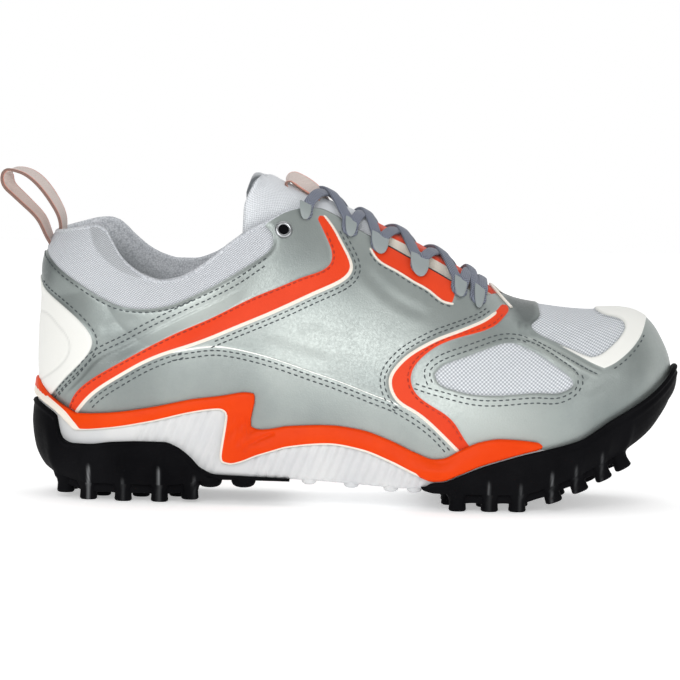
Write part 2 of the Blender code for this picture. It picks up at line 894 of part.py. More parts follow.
def add_studs(target, edge_places, lug_places, low, high):
    """Studs, side ribs, bars and lugs of one outsole part."""
    work = bmesh.new()
    for side in SIDES.values():
        anchors = []
        for x in edge_places:
            stud_mesh(work, *edge_stud(x, side), STUD_TIP, STUD_ROOT, slope_at(x))
            stud_mesh(work, *side_rib(x, side), RIB["foot"], RIB["head"], 0.0, RIB["sides"])
            anchors.append(wall(angle_of(x), side, plate_of(x), BAR["out"]))
        for start, end in zip(anchors[:-1], anchors[1:]):
            bar_mesh(work, start, end)
        for x in lug_places:
            foot = wall(angle_of(x), side, plate_of(x) - WAIST_LUG["height"], WAIST_LUG["out"])
            head = foot + np.array((0, 0, WAIST_LUG["height"] + WAIST_LUG["sunk"]))
            stud_mesh(work, foot, head, WAIST_LUG["tip"], WAIST_LUG["root"], 0.0)
    for x, y in zip(INNER_STUDS["x"], INNER_STUDS["y"]):
        if low < x < high:
            foot = np.array((x, y, plate_of(x) - STUD_HEIGHT))
            head = np.array((x, y, plate_of(x) + STUD_SUNK))
            stud_mesh(work, foot, head, STUD_TIP, STUD_ROOT, slope_at(x))
    join_boolean(target, target.name + "_studs", work)


def make_outsoles():
    a = sole_angles(HEEL_END, HEEL_RUBBER_END)
    heel = rubber_cup("outsole_heel", a, line(along(a), HEEL_RUBBER["x"], HEEL_RUBBER["top"]))
    add_studs(heel, HEEL_EDGE, WAIST_LUGS, 0, HEEL_RUBBER_END)
    a = sole_angles(FORE_RUBBER_START, TOE_END)
    fore = rubber_cup("outsole_forefoot", a, line(along(a), FORE_RUBBER["x"], FORE_RUBBER["top"]))
    add_studs(fore, FORE_EDGE, (), FORE_RUBBER_START, TOE_END)


def frame_half(a, side):
    """Section rings of the orange frame along one side."""
    x = along(a)
    top = line(x, FRAME_LINES["x"], FRAME_LINES["top"])
    low = line(x, FRAME_LINES["x"], FRAME_LINES["low"])
    rim = line(x, CUP_RIM["x"], CUP_RIM["top"])
    lip = np.minimum(rim + GAP, top - 0.3)
    points = []
    for share, crown in ((0, 0), (0.15, 0.8), (0.85, 0.8), (1, 0)):
        z = low + (top - low) * share
        points.append(wall(a, side, z, rubber_out(a, z) + FRAME_CROWN * (crown - 0.5)))
    points.append(wall(a, side, top, np.full_like(a, CUP_IN)))
    points.append(wall(a, side, lip, cup_out(a, np.minimum(lip, rim)) + GAP))
    bed = bed_of(a)
    for level in ((bed + rim) / 2, bed):
        z = np.clip(level, low + 0.1, lip - 0.1)
        points.append(wall(a, side, z, cup_out(a, z) + GAP))
    points.append(wall(a, side, low, cup_out(a, low) + GAP))
    return np.stack(points, axis=1)


def make_frame():
    """Orange band around the midsole, from one side of the forefoot round the heel to the other."""
    a = sole_angles(HEEL_END, FRAME_END)
    lateral = frame_half(a, LATERAL)[::-1]
    medial = frame_half(a, MEDIAL)[1:]
    loft("frame", "orange_plastic", np.concatenate([lateral, medial]), True, True)


def panel_grid(lines, side, rows, off=GAP + 0.1, between=False):
    """Grid on the upper between the two lines of a panel, at the upper's stations and also between them."""
    ends = angle_of(lines["x"][[0, -1]])
    shared = upper_angles()
    if between:
        shared = np.sort(np.concatenate([shared, (shared[1:] + shared[:-1]) / 2]))
    shared = shared[(shared > ends[0] + 0.01) & (shared < ends[1] - 0.01)]
    a = np.concatenate([ends[:1], shared, ends[1:]])[:, None]
    low = share_of(a, line(along(a), lines["x"], lines["low"]))
    high = share_of(a, line(along(a), lines["x"], lines["high"]))
    power = 2 / square_of(a)
    low_phi = np.arcsin(low ** (1 / power))
    high_phi = np.arcsin(high ** (1 / power))
    phi = low_phi + (high_phi - low_phi) * np.linspace(0, 1, rows)
    f = np.sin(phi) ** power
    return raised(a, side, f, np.full(f.shape, off))


def make_panels():
    """Overlays that lie between two height lines of the upper."""
    for side_name, side in SIDES.items():
        for name, lines in (("saddle", SADDLE), ("eyestay", EYESTAY)):
            grids = [(panel_grid(lines, side, 4), side)]
            thicken(sheet(f"{name}_{side_name}", "silver_leather", grids), OVERLAY, 1)
    toe = [(panel_grid(TOE_CAP, side, 8, TOE_CAP_OFF, True), side) for side in SIDES.values()]
    heel = [(panel_grid(HEEL_PATCH, side, 5, HEEL_PATCH_OFF), side) for side in SIDES.values()]
    for grid, _ in toe:
        grid[-1, :, 1] = plan_y(math.pi, MEDIAL)
    for grid, _ in heel:
        grid[0, :, 1] = 0.0
    thicken(sheet("toe_cap", "silver_leather", toe, weld=0.4), OVERLAY, 1)
    thicken(sheet("heel_patch", "white_leather", heel, weld=0.4), OVERLAY, 1)


def ribbon_grid(path, side):
    """Grid on the upper along a path of given half width."""
    steps = np.hypot(np.diff(path["x"]), np.diff(path["z"]))
    run = np.concatenate([[0], np.cumsum(steps)])
    at = np.linspace(0, run[-1], RIBBON_POINTS)
    x = spline(at, run, path["x"])
    z = spline(at, run, path["z"])
    half = spline(at, run, path["half"])
    dx = np.gradient(x)
    dz = np.gradient(z)
    size = np.hypot(dx, dz)
    across = np.array((-1, 0, 1))
    u = x[:, None] + (dz / size * half)[:, None] * across
    v = z[:, None] - (dx / size * half)[:, None] * across
    a = angle_of(u)
    f = share_of(a, v)
    return raised(a, side, f, np.full(f.shape, GAP + 0.1))


def make_stripes():
    for side_name, side in SIDES.items():
        for name, path in (("stripe_rear", STRIPE_REAR), ("stripe_fore", STRIPE_FORE)):
            piece = sheet(f"{name}_{side_name}", "orange_film", [(ribbon_grid(path, side), side)])
            face_out(piece, side)
            thicken(piece, OVERLAY, 1)


def face_out(piece, side):
    """Turn an open piece so that its faces look away from the shoe."""
    out = sum(face.normal.y * face.area for face in piece.data.polygons) * side
    if out < 0:
        piece.data.flip_normals()


def make_tongue():
    """Padded tongue: under the throat it follows the upper, above it stands up and curls round."""
    across = np.linspace(-1, 1, TONGUE_ACROSS)
    rows = []
    for x, reach in zip(TONGUE_ROWS, TONGUE_REACH):
        a = angle_of(x)
        power = 2 / square_of(a)
        row = []
        for share in across:
            side = MEDIAL if share >= 0 else LATERAL
            width = abs(plan_y(a, side))
            phi = math.pi / 2 - abs(share) * (math.pi / 2 - math.acos((reach / width) ** (1 / power)))
            row.append(raised(a, side, math.sin(phi) ** power, -TONGUE_UNDER))
        rows.append(row)
    for x, z, wing_x, lateral, medial, wing_z in zip(*TONGUE_TOP.values()):
        turn = np.abs(across) * math.pi / 2
        side_y = np.where(across < 0, -lateral, medial) * np.sin(turn) + RIDGE_SHIFT * np.cos(turn)
        fall = 1 - np.cos(turn)
        rows.append(np.stack([x + (wing_x - x) * fall, side_y, z + (wing_z - z) * fall], axis=-1))
    rows = np.array(rows)
    middle = rows[:, len(across) // 2]
    run = np.concatenate([[0], np.cumsum(np.linalg.norm(np.diff(middle, axis=0), axis=1))])
    at = np.linspace(0, run[-1], TONGUE_ALONG)
    grid = np.empty((len(at), len(across), 3))
    for j in range(len(across)):
        for k in range(3):
            grid[:, j, k] = spline(at, run, rows[:, j, k])
    tongue = sheet("tongue", "grey_mesh", [(grid, LATERAL)])
    if sum(face.normal.z * face.area for face in tongue.data.polygons) < 0:
        tongue.data.flip_normals()
    thicken(tongue, TONGUE, -1)


def make_tabs_and_eyelets():
    """Webbing tabs that hold the lace, and the two metal eyelets at the top."""
    turn = np.linspace(0, math.pi, 7)
    for side_name, side in SIDES.items():
        for number, (x, z) in enumerate(zip(TABS["x"], TABS["z"]), 1):
            a = angle_of(x)
            f = share_of(a, z)
            base, normal, up, forward = surface_frame(a, side, f)
            span = np.outer(-np.cos(turn) * TAB["half_span"], up)
            rise = np.outer(TAB["off"] + np.sin(turn) * TAB["rise"], normal)
            half = forward * TAB["width"] / 2
            grid = np.stack([base + span + rise - half, base + span + rise + half], axis=1)
            tab = sheet(f"lace_tab_{side_name}_{number}", "grey_webbing", [(grid, side)])
            thicken(tab, TAB["thick"], 0)
        a = angle_of(EYELET["x"])
        f = share_of(a, EYELET["z"])
        bpy.ops.mesh.primitive_torus_add(
            major_radius=EYELET["ring"] * MM,
            minor_radius=EYELET["wire"] * MM,
            major_segments=12,
            minor_segments=5,
        )
        ring = bpy.context.object
        mesh = ring.data
        bpy.data.objects.remove(ring)
        eyelet = add_object("eyelet_" + side_name, mesh, "nickel")
        eyelet.location = Vector(raised(a, side, f, 2 * GAP + EYELET["wire"])) * MM
        turn_to(eyelet, normal_of(a, side, f))


def surface_frame(a, side, f):
    """Point of the upper with its outward, upward and forward directions."""
    base = body(a, side, f)
    normal = normal_of(a, side, f)
    forward = body(a + 0.01, side, f) - body(a - 0.01, side, f)
    forward = forward - normal * np.dot(forward, normal)
    forward = forward / np.linalg.norm(forward)
    up = np.cross(normal, forward) * side
    return base, normal, up, forward


def lace_path(start, end, start_side):
    """Points of one lace run from a tab over the tongue to the tab across, each end given as x and z."""
    points = []
    for t in np.linspace(0, 1, LACE_POINTS):
        near, side = (start, start_side) if t < 0.5 else (end, -start_side)
        rise = 1 - abs(2 * t - 1)
        a = angle_of(start[0] + (end[0] - start[0]) * t)
        power = 2 / square_of(a)
        low_phi = math.asin(share_of(angle_of(near[0]), near[1]) ** (1 / power))
        phi = low_phi + (math.pi / 2 - low_phi) * rise
        points.append(raised(a, side, math.sin(phi) ** power, LACE_OFF - LACE_SINK * rise**2))
    return np.array(points)


def tube(name, points):
    """Round cord along points, as a closed mesh object."""
    curve = bpy.data.curves.new(name, "CURVE")
    curve.dimensions = "3D"
    curve.bevel_depth = LACE_RADIUS * MM
    curve.bevel_resolution = 1
    curve.use_fill_caps = True
    run = curve.splines.new("POLY")
    run.points.add(len(points) - 1)
    for knot, point in zip(run.points, points * MM):
        knot.co = (*point, 1)
    wire = bpy.data.objects.new(name, curve)
    shoe_parts.objects.link(wire)
    depsgraph = bpy.context.evaluated_depsgraph_get()
    mesh = bpy.data.meshes.new_from_object(wire.evaluated_get(depsgraph))
    bpy.data.objects.remove(wire)
    work = bmesh.new()
    work.from_mesh(mesh)
    bmesh.ops.remove_doubles(work, verts=work.verts, dist=0.01 * MM)
    bmesh.ops.recalc_face_normals(work, faces=work.faces)
    return work


def make_laces():
    """Lace crossings between neighbouring rows, each two fused runs, and the lowest bar."""
    rows = list(zip(TABS["x"], TABS["z"]))
    first_x, first_z = rows[0]
    first = (first_x + LACE_CLEAR, first_z)
    bar = lace_path(first, first, LATERAL)
    add_object("lace_bar", mesh_of("lace_bar", tube("lace_bar", bar)), "grey_webbing")
    for number, ((x0, z0), (x1, z1)) in enumerate(zip(rows[:-1], rows[1:]), 1):
        name = f"lace_cross_{number}"
        runs = []
        for side in SIDES.values():
            runs.append(lace_path((x0 - LACE_CLEAR, z0), (x1 + LACE_CLEAR, z1), side))
        cross = add_object(name, mesh_of(name, tube(name, runs[0])), "grey_webbing")
        join_boolean(cross, name + "_run", tube(name + "_run", runs[1]))


def strip(name, path, sizes, shift_y):
    """Webbing strip along a path in the middle plane."""
    steps = np.hypot(np.diff(path["x"]), np.diff(path["z"]))
    run = np.concatenate([[0], np.cumsum(steps)])
    at = np.linspace(0, run[-1], 2 * len(run) - 1)
    x = spline(at, run, path["x"])
    z = spline(at, run, path["z"])
    half = sizes["width"] / 2
    edges = [np.stack([x, np.full_like(x, shift_y + y), z], axis=-1) for y in (-half, half)]
    piece = sheet(name, "pale_webbing", [(np.stack(edges, axis=1), LATERAL)])
    thicken(piece, sizes["thick"], 0)


def make_finishes():
    made = {}
    for name, (colour, roughness, metallic) in FINISHES.items():
        material = bpy.data.materials.new(name)
        material.use_nodes = True
        shader = material.node_tree.nodes["Principled BSDF"]
        shader.inputs["Base Color"].default_value = (*colour, 1)
        shader.inputs["Roughness"].default_value = roughness
        shader.inputs["Metallic"].default_value = metallic
        made[name] = material
    return made


for old in list(bpy.data.objects):
    bpy.data.objects.remove(old)

shoe_parts = bpy.data.collections.new(NAME)
cutters = bpy.data.collections.new(NAME + "_cutters")
bpy.context.scene.collection.children.link(shoe_parts)
bpy.context.scene.collection.children.link(cutters)
root = bpy.data.objects.new(NAME, None)
shoe_parts.objects.link(root)
root.location = (-ORIGIN[0] * MM, -ORIGIN[1] * MM, 0)
materials = make_finishes()

make_upper()
make_insole()
make_midsole()
make_outsoles()
make_frame()
make_tongue()
make_panels()
make_stripes()
make_tabs_and_eyelets()
make_laces()
strip("pull_loop", PULL_LOOP, PULL_LOOP_STRIP, 0.0)
strip("tongue_loop", TONGUE_LOOP, TONGUE_LOOP_STRIP, RIDGE_SHIFT)
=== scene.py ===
import math

import bpy
import numpy as np
from mathutils import Matrix, Vector


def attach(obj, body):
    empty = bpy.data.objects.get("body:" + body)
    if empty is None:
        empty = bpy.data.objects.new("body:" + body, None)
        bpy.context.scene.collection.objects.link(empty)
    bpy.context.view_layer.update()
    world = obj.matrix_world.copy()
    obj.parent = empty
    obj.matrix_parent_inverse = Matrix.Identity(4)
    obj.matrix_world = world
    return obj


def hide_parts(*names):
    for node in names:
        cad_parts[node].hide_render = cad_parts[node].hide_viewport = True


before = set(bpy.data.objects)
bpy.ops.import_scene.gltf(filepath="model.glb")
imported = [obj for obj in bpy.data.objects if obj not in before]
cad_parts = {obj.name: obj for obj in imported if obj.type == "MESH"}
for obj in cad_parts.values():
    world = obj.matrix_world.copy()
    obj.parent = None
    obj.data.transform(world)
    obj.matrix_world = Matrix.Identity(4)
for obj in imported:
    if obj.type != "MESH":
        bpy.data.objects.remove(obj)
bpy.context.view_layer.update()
print("frame loaded,", len(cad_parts), "nodes")

lateral, medial = -1, 1
halfPi = math.pi / 2


def table(columns, *rows):
    # a short table as one array for each named column
    return dict(zip(columns.split(), np.array(rows, float).T))


# The last, in millimetres: x from heel to toe, y to the medial side, z up from the floor
last = {
    "heelEnd": 5.0,
    "toeEnd": 289.2,
    "throatEnd": 215.5,
    "origin": np.array((138.6, -0.1, 0.0)),  # middle of the part's box in plan
    "collarPad": 1.8,
    "padDepth": 32.0,
    "padEnds": (80.0, 106.0),
    "leanFrom": 104.0,
    "lean": 5.0 / 22.0**2,
    "leanReach": 60.0,
}
plan = table(
    "x lateral medial",
    (5, 0, 0), (10, 17, 16.5), (25, 29, 28), (50, 33, 31), (85, 34, 28.5), (120, 37, 28), (155, 42, 33.5),
    (190, 46.5, 42), (215, 46, 46), (240, 41, 46), (261, 31.5, 42.5), (277, 18, 35), (286, 2, 24.5),
    (289.2, -12, 12),
)
levels = table(
    "x bed plate core",
    (5, 31, 14, 18.5), (14, 30.5, 10.3, 14.8), (26, 30, 8, 12.4), (60, 29, 8, 12.3), (85, 28, 11.0, 12.6),
    (120, 25, 11.2, 12.2), (155, 21.5, 9.2, 10.6), (178, 19.2, 8.2, 10.2), (195, 18.3, 8, 12.3),
    (222, 18.8, 8, 12.3), (239, 22.3, 12.6, 16.4), (250, 26, 17, 20.6), (263, 31.2, 23.2, 26.5),
    (274.5, 37.4, 29.8, 33), (283, 43.5, 36, 39.2), (289.2, 49, 43, 46),
)
ridge = table(
    "x top",
    (5, 175), (40, 172), (75, 166), (100, 156), (120, 146), (135, 139.5), (150, 131.9), (158, 127.9),
    (167, 123.3),
    (177, 118.9), (185, 114.4), (195, 108.4), (203, 103.4), (208, 100.6), (213, 98), (218, 95.8), (230, 93.2),
    (245, 91.3), (257, 90.7), (266, 91), (275.5, 89.9), (282, 86.6), (287, 81), (289.2, 75),
)
form = table(
    "x bulge peak square ridgeY",
    (5, 4.6, 0.25, 2.6, 0), (40, 3.4, 0.25, 2.7, 0), (85, 2.0, 0.25, 2.5, 0.6), (120, 1.4, 0.3, 2.25, 1.5),
    (155, 1.5, 0.35, 2.05, 2), (190, 2.4, 0.38, 2.1, 2), (215, 3.0, 0.4, 2.2, 2.5),
    (240, 3.4, 0.42, 2.4, 4.5),
    (265, 4.0, 0.45, 2.5, 8.5), (289.2, 4.8, 0.5, 2.5, 12),
)
collar = table(
    "x lateral medial",
    (5, 124, 124), (16, 126.5, 126.5), (24, 128, 128), (29, 126.5, 128.2), (34, 120.5, 127),
    (38, 114.5, 124.5), (43, 109.5, 120), (50, 105.3, 114.5), (57, 103.5, 111), (64, 104.4, 109.3),
    (71, 107.6, 109.4), (80, 114, 112.3), (89, 121.4, 118.4), (98, 127.2, 125.2), (107, 131.4, 130.6),
    (114, 135, 134.4), (121, 136.6, 136.6), (128, 136.6, 136.6), (135, 134.2, 134.2), (142, 130, 130),
    (150, 125.6, 125.6), (158, 121.6, 121.6), (163, 119.2, 119.2), (171, 115, 115), (178, 111.6, 111.6),
    (185, 107.9, 107.9), (192, 104, 104), (200, 100.3, 100.3), (206, 98.2, 98.2), (213, 96.7, 96.7),
    (215.5, 96.5, 96.5),
)
# The sole's lines: orange frame, black rubber at heel and forefoot, rim of the white cup
frameLines = table(
    "x top low",
    (5, 54.5, 46), (9, 48.5, 43.3), (13, 45, 40.3), (17.5, 42, 35.5), (21, 40.2, 32.2), (34, 41, 33.5),
    (53, 44, 37), (71, 48, 41.5), (81, 50, 43.5), (84, 50.6, 41.5), (85.5, 50.9, 32), (87, 51.2, 22),
    (89, 51.6, 19.2), (93, 52, 18.4), (97.2, 51.6, 19.4), (99.2, 48, 20.1), (100.6, 40, 20.7),
    (102.4, 36, 21.5), (106, 35, 23.1), (117, 37, 27.0), (136, 38, 29), (150, 36.5, 27), (164, 32, 22),
    (176, 26.6, 16.5), (184, 24, 13.7), (188, 24.4, 14), (196, 28.5, 17.3), (205, 32.5, 21.3),
    (214, 34, 24.3), (224, 33.4, 27.3), (235, 31.8, 30),
)
heelRubber = table(
    "x top",
    (5, 44.2), (9, 41.6), (12.6, 38.8), (13.3, 37.6), (13.9, 31), (15.4, 27.6), (19, 26.1), (26, 26.2),
    (36, 27.6),
    (50, 28.3), (60, 28.2), (66, 26), (72, 21.5), (77, 16.5), (84, 13.6), (95, 13.2), (118, 12.6),
)
foreRubber = table(
    "x top",
    (180, 11.2), (184, 13.1), (188, 13.4), (196, 16.7), (205, 20.7), (214, 23.7), (224, 26.7), (235, 29.3),
    (243, 31.3), (250, 33.6), (257, 38), (262, 41.6), (271, 47), (280, 53.4), (285.5, 59), (289.2, 65),
)
cupRim = table(
    "x top",
    (5, 51), (12, 44), (21, 38.4), (34, 39.2), (53, 42.2), (75, 46.8), (86, 47.2), (92, 44), (97, 36.5),
    (103, 33.6), (117, 35), (136, 36), (150, 34.5), (164, 30), (176, 25), (187, 22.6), (196, 26.3),
    (205, 29.8), (224, 30.4), (235, 29), (250, 32.4), (262, 39.6), (271, 45), (280, 51.4), (289.2, 60.5),
)
layers = {
    "gap": 0.3,
    "cupIn": 0.6,
    "cupOut": table("place out", (0, 1.0), (1, 3.0), (2, 1.4)),
    "rubberOut": table("place out", (1, 5.2), (2, 3.1)),
    "heelSwell": ((1.8, 31.0, 8.0), (-1.2, 53.0, 5.0)),  # amount, height and half width at the heel's back
    "swellEnds": (7.0, 26.0),
    "soleRound": 3.8,
    "soleRoundHeight": 10.0,
}


def spline(x, xs, ys):
    # natural cubic spline through the points of a table
    x = np.asarray(x, float)
    steps = np.diff(xs)
    slopes = np.diff(ys) / steps
    count = len(xs)
    system = np.eye(count)
    right = np.zeros(count)
    for i in range(1, count - 1):
        system[i, i - 1 : i + 2] = steps[i - 1], 2 * (steps[i - 1] + steps[i]), steps[i]
        right[i] = 6 * (slopes[i] - slopes[i - 1])
    bend = np.linalg.solve(system, right)
    i = np.clip(np.searchsorted(xs, x) - 1, 0, count - 2)
    t = x - xs[i]
    first = slopes[i] - steps[i] * (2 * bend[i] + bend[i + 1]) / 6
    return ys[i] + t * first + t**2 * bend[i] / 2 + t**3 * (bend[i + 1] - bend[i]) / (6 * steps[i])


def smooth(x, xs, ys):
    # monotone cubic through the points of a table, which never overshoots
    x = np.clip(np.asarray(x, float), xs[0], xs[-1])
    steps = np.diff(xs)
    slopes = np.diff(ys) / steps
    product = slopes[:-1] * slopes[1:]
    total = slopes[:-1] + slopes[1:]
    inner = np.where(product > 0, 2 * product / np.where(product > 0, total, 1.0), 0.0)
    lean = np.concatenate([slopes[:1], inner, slopes[-1:]])
    i = np.clip(np.searchsorted(xs, x) - 1, 0, len(xs) - 2)
    t = (x - xs[i]) / steps[i]
    bow = steps[i] * t * (1 - t) * (lean[i] * (1 - t) - lean[i + 1] * t)
    return ys[i] + (ys[i + 1] - ys[i]) * t * t * (3 - 2 * t) + bow


def angleOf(x):
    # station angle of a place along the footbed, 0 at the heel and pi at the toe
    share = (np.asarray(x, float) - last["heelEnd"]) / (last["toeEnd"] - last["heelEnd"])
    return np.arccos(np.clip(1 - 2 * share, -1, 1))


def along(a):
    # place along the footbed of a station angle
    return last["heelEnd"] + (last["toeEnd"] - last["heelEnd"]) * (1 - np.cos(a)) / 2


def column(side):
    return "lateral" if side == lateral else "medial"


def planY(a, side):
    # footbed outline of a side
    return side * spline(a, angleOf(plan["x"]), plan[column(side)])


def planNormal(a, side, step=0.004):
    # outward direction of the footbed outline, straight back at the heel and straight on at the toe
    before, after = np.clip(a - step, 0, math.pi), np.clip(a + step, 0, math.pi)
    dx, dy = along(after) - along(before), planY(after, side) - planY(before, side)
    size = np.hypot(dx, dy)
    atHeel, atToe = np.asarray(a) < 1e-6, np.asarray(a) > math.pi - 1e-6
    outX = np.where(atHeel, -1.0, np.where(atToe, 1.0, -side * dy / size))
    return outX, np.where(atHeel | atToe, 0.0, side * dx / size)


def bedOf(a):
    return spline(along(a), levels["x"], levels["bed"])


def plateOf(x):
    return smooth(x, levels["x"], levels["plate"])


def coreOf(x):
    return spline(x, levels["x"], levels["core"])


def rimOf(x):
    return smooth(x, cupRim["x"], cupRim["top"])


def ridgeOf(a):
    return spline(a, angleOf(ridge["x"]), ridge["top"])


def squareOf(a):
    # power of the superellipse section
    return spline(along(a), form["x"], form["square"])


def edgeOf(a, side):
    # height of the collar and throat edge
    return smooth(along(a), collar["x"], collar[column(side)])


def shareOf(a, z):
    # height as a share between footbed and ridge
    return np.clip((z - bedOf(a)) / (ridgeOf(a) - bedOf(a)), 0, 1)


def fade(x, start, end):
    # 1 before start, 0 after end, smooth between
    t = np.clip((x - start) / (end - start), 0, 1)
    return 1 - t * t * (3 - 2 * t)


def body(a, side, f, out=0.0):
    # the last's skin: a superellipse section between footbed outline and ridge, pushed out by a hump
    # low on the side and by the collar's padding, and leaning forward at the top of the heel
    a, f, out = np.broadcast_arrays(np.asarray(a, float), np.asarray(f, float), np.asarray(out, float))
    x = along(a)
    square = squareOf(a)
    middle = spline(x, form["x"], form["ridgeY"])
    y = middle + (planY(a, side) - middle) * (1 - f**square) ** (1 / square)
    z = bedOf(a) + f * (ridgeOf(a) - bedOf(a))
    peak = spline(x, form["x"], form["peak"])
    fall = 1 / peak - 1
    hump = f * (1 - f) ** fall / (peak * (1 - peak) ** fall)
    depth = np.clip((edgeOf(a, side) - z) / last["padDepth"], 0, 1)
    pad = last["collarPad"] * np.sin(math.pi * depth) * fade(x, *last["padEnds"])
    out = out + spline(x, form["x"], form["bulge"]) * hump + pad
    outX, outY = planNormal(a, side)
    lean = last["lean"] * np.maximum(z - last["leanFrom"], 0) ** 2
    lean = lean * np.clip(1 - (x - last["heelEnd"]) / last["leanReach"], 0, 1) ** 2
    return np.stack([x + outX * out + lean, y + outY * out, z], axis=-1)


def unit(v):
    return v / np.maximum(np.linalg.norm(v, axis=-1, keepdims=True), 1e-12)


def lengthAlong(points, axis=0):
    # running length of lines of points, from 0
    steps = np.cumsum(np.linalg.norm(np.diff(points, axis=axis), axis=-1), axis=axis)
    return np.concatenate([np.zeros_like(np.take(steps, [0], axis=axis)), steps], axis=axis)


def easedSteps(count):
    # steps from 0 to 1, closer at both ends
    return (1 - np.cos(np.linspace(0, math.pi, count))) / 2


def normalOf(a, side, f, step=0.012):
    # outward direction of the skin, from steps along the station and up the section
    a, f = np.broadcast_arrays(np.asarray(a, float), np.asarray(f, float))
    a = np.clip(a, 0.02, math.pi - 0.02)
    power = 2 / squareOf(a)
    phi = np.clip(np.arcsin(np.clip(f, 0, 1) ** (1 / power)), 0.03, halfPi - 0.02)
    alongA = body(a + step, side, np.sin(phi) ** power) - body(a - step, side, np.sin(phi) ** power)
    alongF = body(a, side, np.sin(phi + step) ** power) - body(a, side, np.sin(phi - step) ** power)
    return unit(-side * np.cross(alongA, alongF))


def raised(a, side, f, off):
    # skin point moved out along its normal
    return body(a, side, f) + normalOf(a, side, f) * np.asarray(off, float)[..., None]


def wall(a, side, z, out):
    # point beside the upper at a height, or straight below its footbed outline
    points = body(a, side, shareOf(a, np.maximum(z, bedOf(a))), out)
    points[..., 2] = z
    return points


def cupOut(a, z):
    # how far the white cup stands out at a height, by shares from core to footbed and from there to the rim
    x, bed = along(a), bedOf(a)
    core = coreOf(x)
    place = np.where(z < bed, (z - core) / (bed - core), 1 + (z - bed) / (rimOf(x) - bed))
    return np.interp(place, layers["cupOut"]["place"], layers["cupOut"]["out"])


def rubberOut(a, z):
    # how far frame and rubber stand out at a height: over the cup, rounded under, swelled at the heel's back
    x, bed = along(a), bedOf(a)
    place = 1 + np.maximum(z - bed, 0) / (rimOf(x) - bed)
    out = np.interp(place, layers["rubberOut"]["place"], layers["rubberOut"]["out"])
    low = np.clip(1 - (z - plateOf(x)) / layers["soleRoundHeight"], 0, 1)
    swell = sum(amount * bell(z - height, width) for amount, height, width in layers["heelSwell"])
    return out - layers["soleRound"] * low**2 + swell * fade(x, *layers["swellEnds"])


# Meshes from whole arrays
def gridFaces(rows, columns, flip=False, closed=False):
    # quads between neighbouring rows and columns, the last column joined to the first where closed
    i, j = np.meshgrid(np.arange(rows - 1), np.arange(columns if closed else columns - 1), indexing="ij")
    k = (j + 1) % columns
    here, onward = i * columns, (i + 1) * columns
    quads = np.stack([here + j, onward + j, onward + k, here + k], axis=-1).reshape(-1, 4)
    return quads[:, ::-1] if flip else quads


def tubeFaces(rings):
    # faces of closed rings one after another, with both ends capped
    shape = rings.shape[:2]
    return np.concatenate([gridFaces(*shape, closed=True), endCaps(*shape)])


def endCaps(rows, columns):
    # quads across the first and the last ring, between its two halves
    j = np.arange(columns // 2 - 1)
    first = np.stack([j, j + 1, columns - 2 - j, columns - 1 - j], axis=-1)
    return np.concatenate([first, first[:, ::-1] + (rows - 1) * columns])


def joined(*meshes):
    # several (points, faces) as one
    points, faces, start = [], [], 0
    for place, quads in meshes:
        points.append(np.asarray(place).reshape(-1, 3))
        faces.append(np.asarray(quads) + start)
        start += len(points[-1])
    return np.concatenate(points), np.concatenate(faces)


def addPiece(name, points, faces, material, slot=None, stands=(), values=None, weld=0.002, recalc=False):
    # points that fall together are merged, faces with fewer than three corners dropped
    points = np.asarray(points, float).reshape(-1, 3)
    key = np.round(points / weld + 0.37).astype(np.int64)
    _, first, place = np.unique(key, axis=0, return_index=True, return_inverse=True)
    place = place.reshape(-1)
    faces = place[np.asarray(faces)]
    same = faces == np.roll(faces, 1, axis=1)
    corners = faces.shape[1] - same.sum(axis=1)
    keep = corners >= 3
    flat = faces[keep][~same[keep]]
    counts = corners[keep]
    mesh = bpy.data.meshes.new(name)
    mesh.vertices.add(len(first))
    mesh.vertices.foreach_set("co", ((points[first] - last["origin"]) * 0.001).astype(np.float32).ravel())
    mesh.loops.add(len(flat))
    mesh.loops.foreach_set("vertex_index", flat.astype(np.int32))
    mesh.polygons.add(len(counts))
    starts = np.concatenate([[0], np.cumsum(counts)[:-1]])
    mesh.polygons.foreach_set("loop_start", starts.astype(np.int32))
    mesh.polygons.foreach_set("loop_total", counts.astype(np.int32))
    mesh.update(calc_edges=True)
    mesh.validate()
    for label, value in (values or {}).items():
        value = np.asarray(value, np.float32)
        vector = value.ndim > 1 and value.shape[-1] == 3
        data = value.reshape(-1, 3)[first] if vector else value.reshape(-1)[first]
        attribute = mesh.attributes.new(label, "FLOAT_VECTOR" if vector else "FLOAT", "POINT")
        attribute.data.foreach_set("vector" if vector else "value", data.ravel())
    mesh.polygons.foreach_set("use_smooth", np.ones(len(mesh.polygons), bool))
    if recalc:
        faceOut(mesh)
    mesh.materials.append(material)
    piece = bpy.data.objects.new(name, mesh)
    bpy.context.scene.collection.objects.link(piece)
    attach(piece, "root")
    if stands:
        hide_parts(*stands)
    print("piece", name, len(mesh.polygons), "faces")
    return piece


def faceOut(mesh):
    # a closed mesh of negative volume is inside out, so all its faces are turned
    mesh.calc_loop_triangles()
    corners = np.zeros(len(mesh.loop_triangles) * 3, np.int32)
    mesh.loop_triangles.foreach_get("vertices", corners)
    place = np.zeros(len(mesh.vertices) * 3, np.float32)
    mesh.vertices.foreach_get("co", place)
    p = place.reshape(-1, 3)[corners.reshape(-1, 3)].astype(float)
    if np.sum(np.cross(p[:, 0], p[:, 1]) * p[:, 2]) < 0:
        mesh.flip_normals()


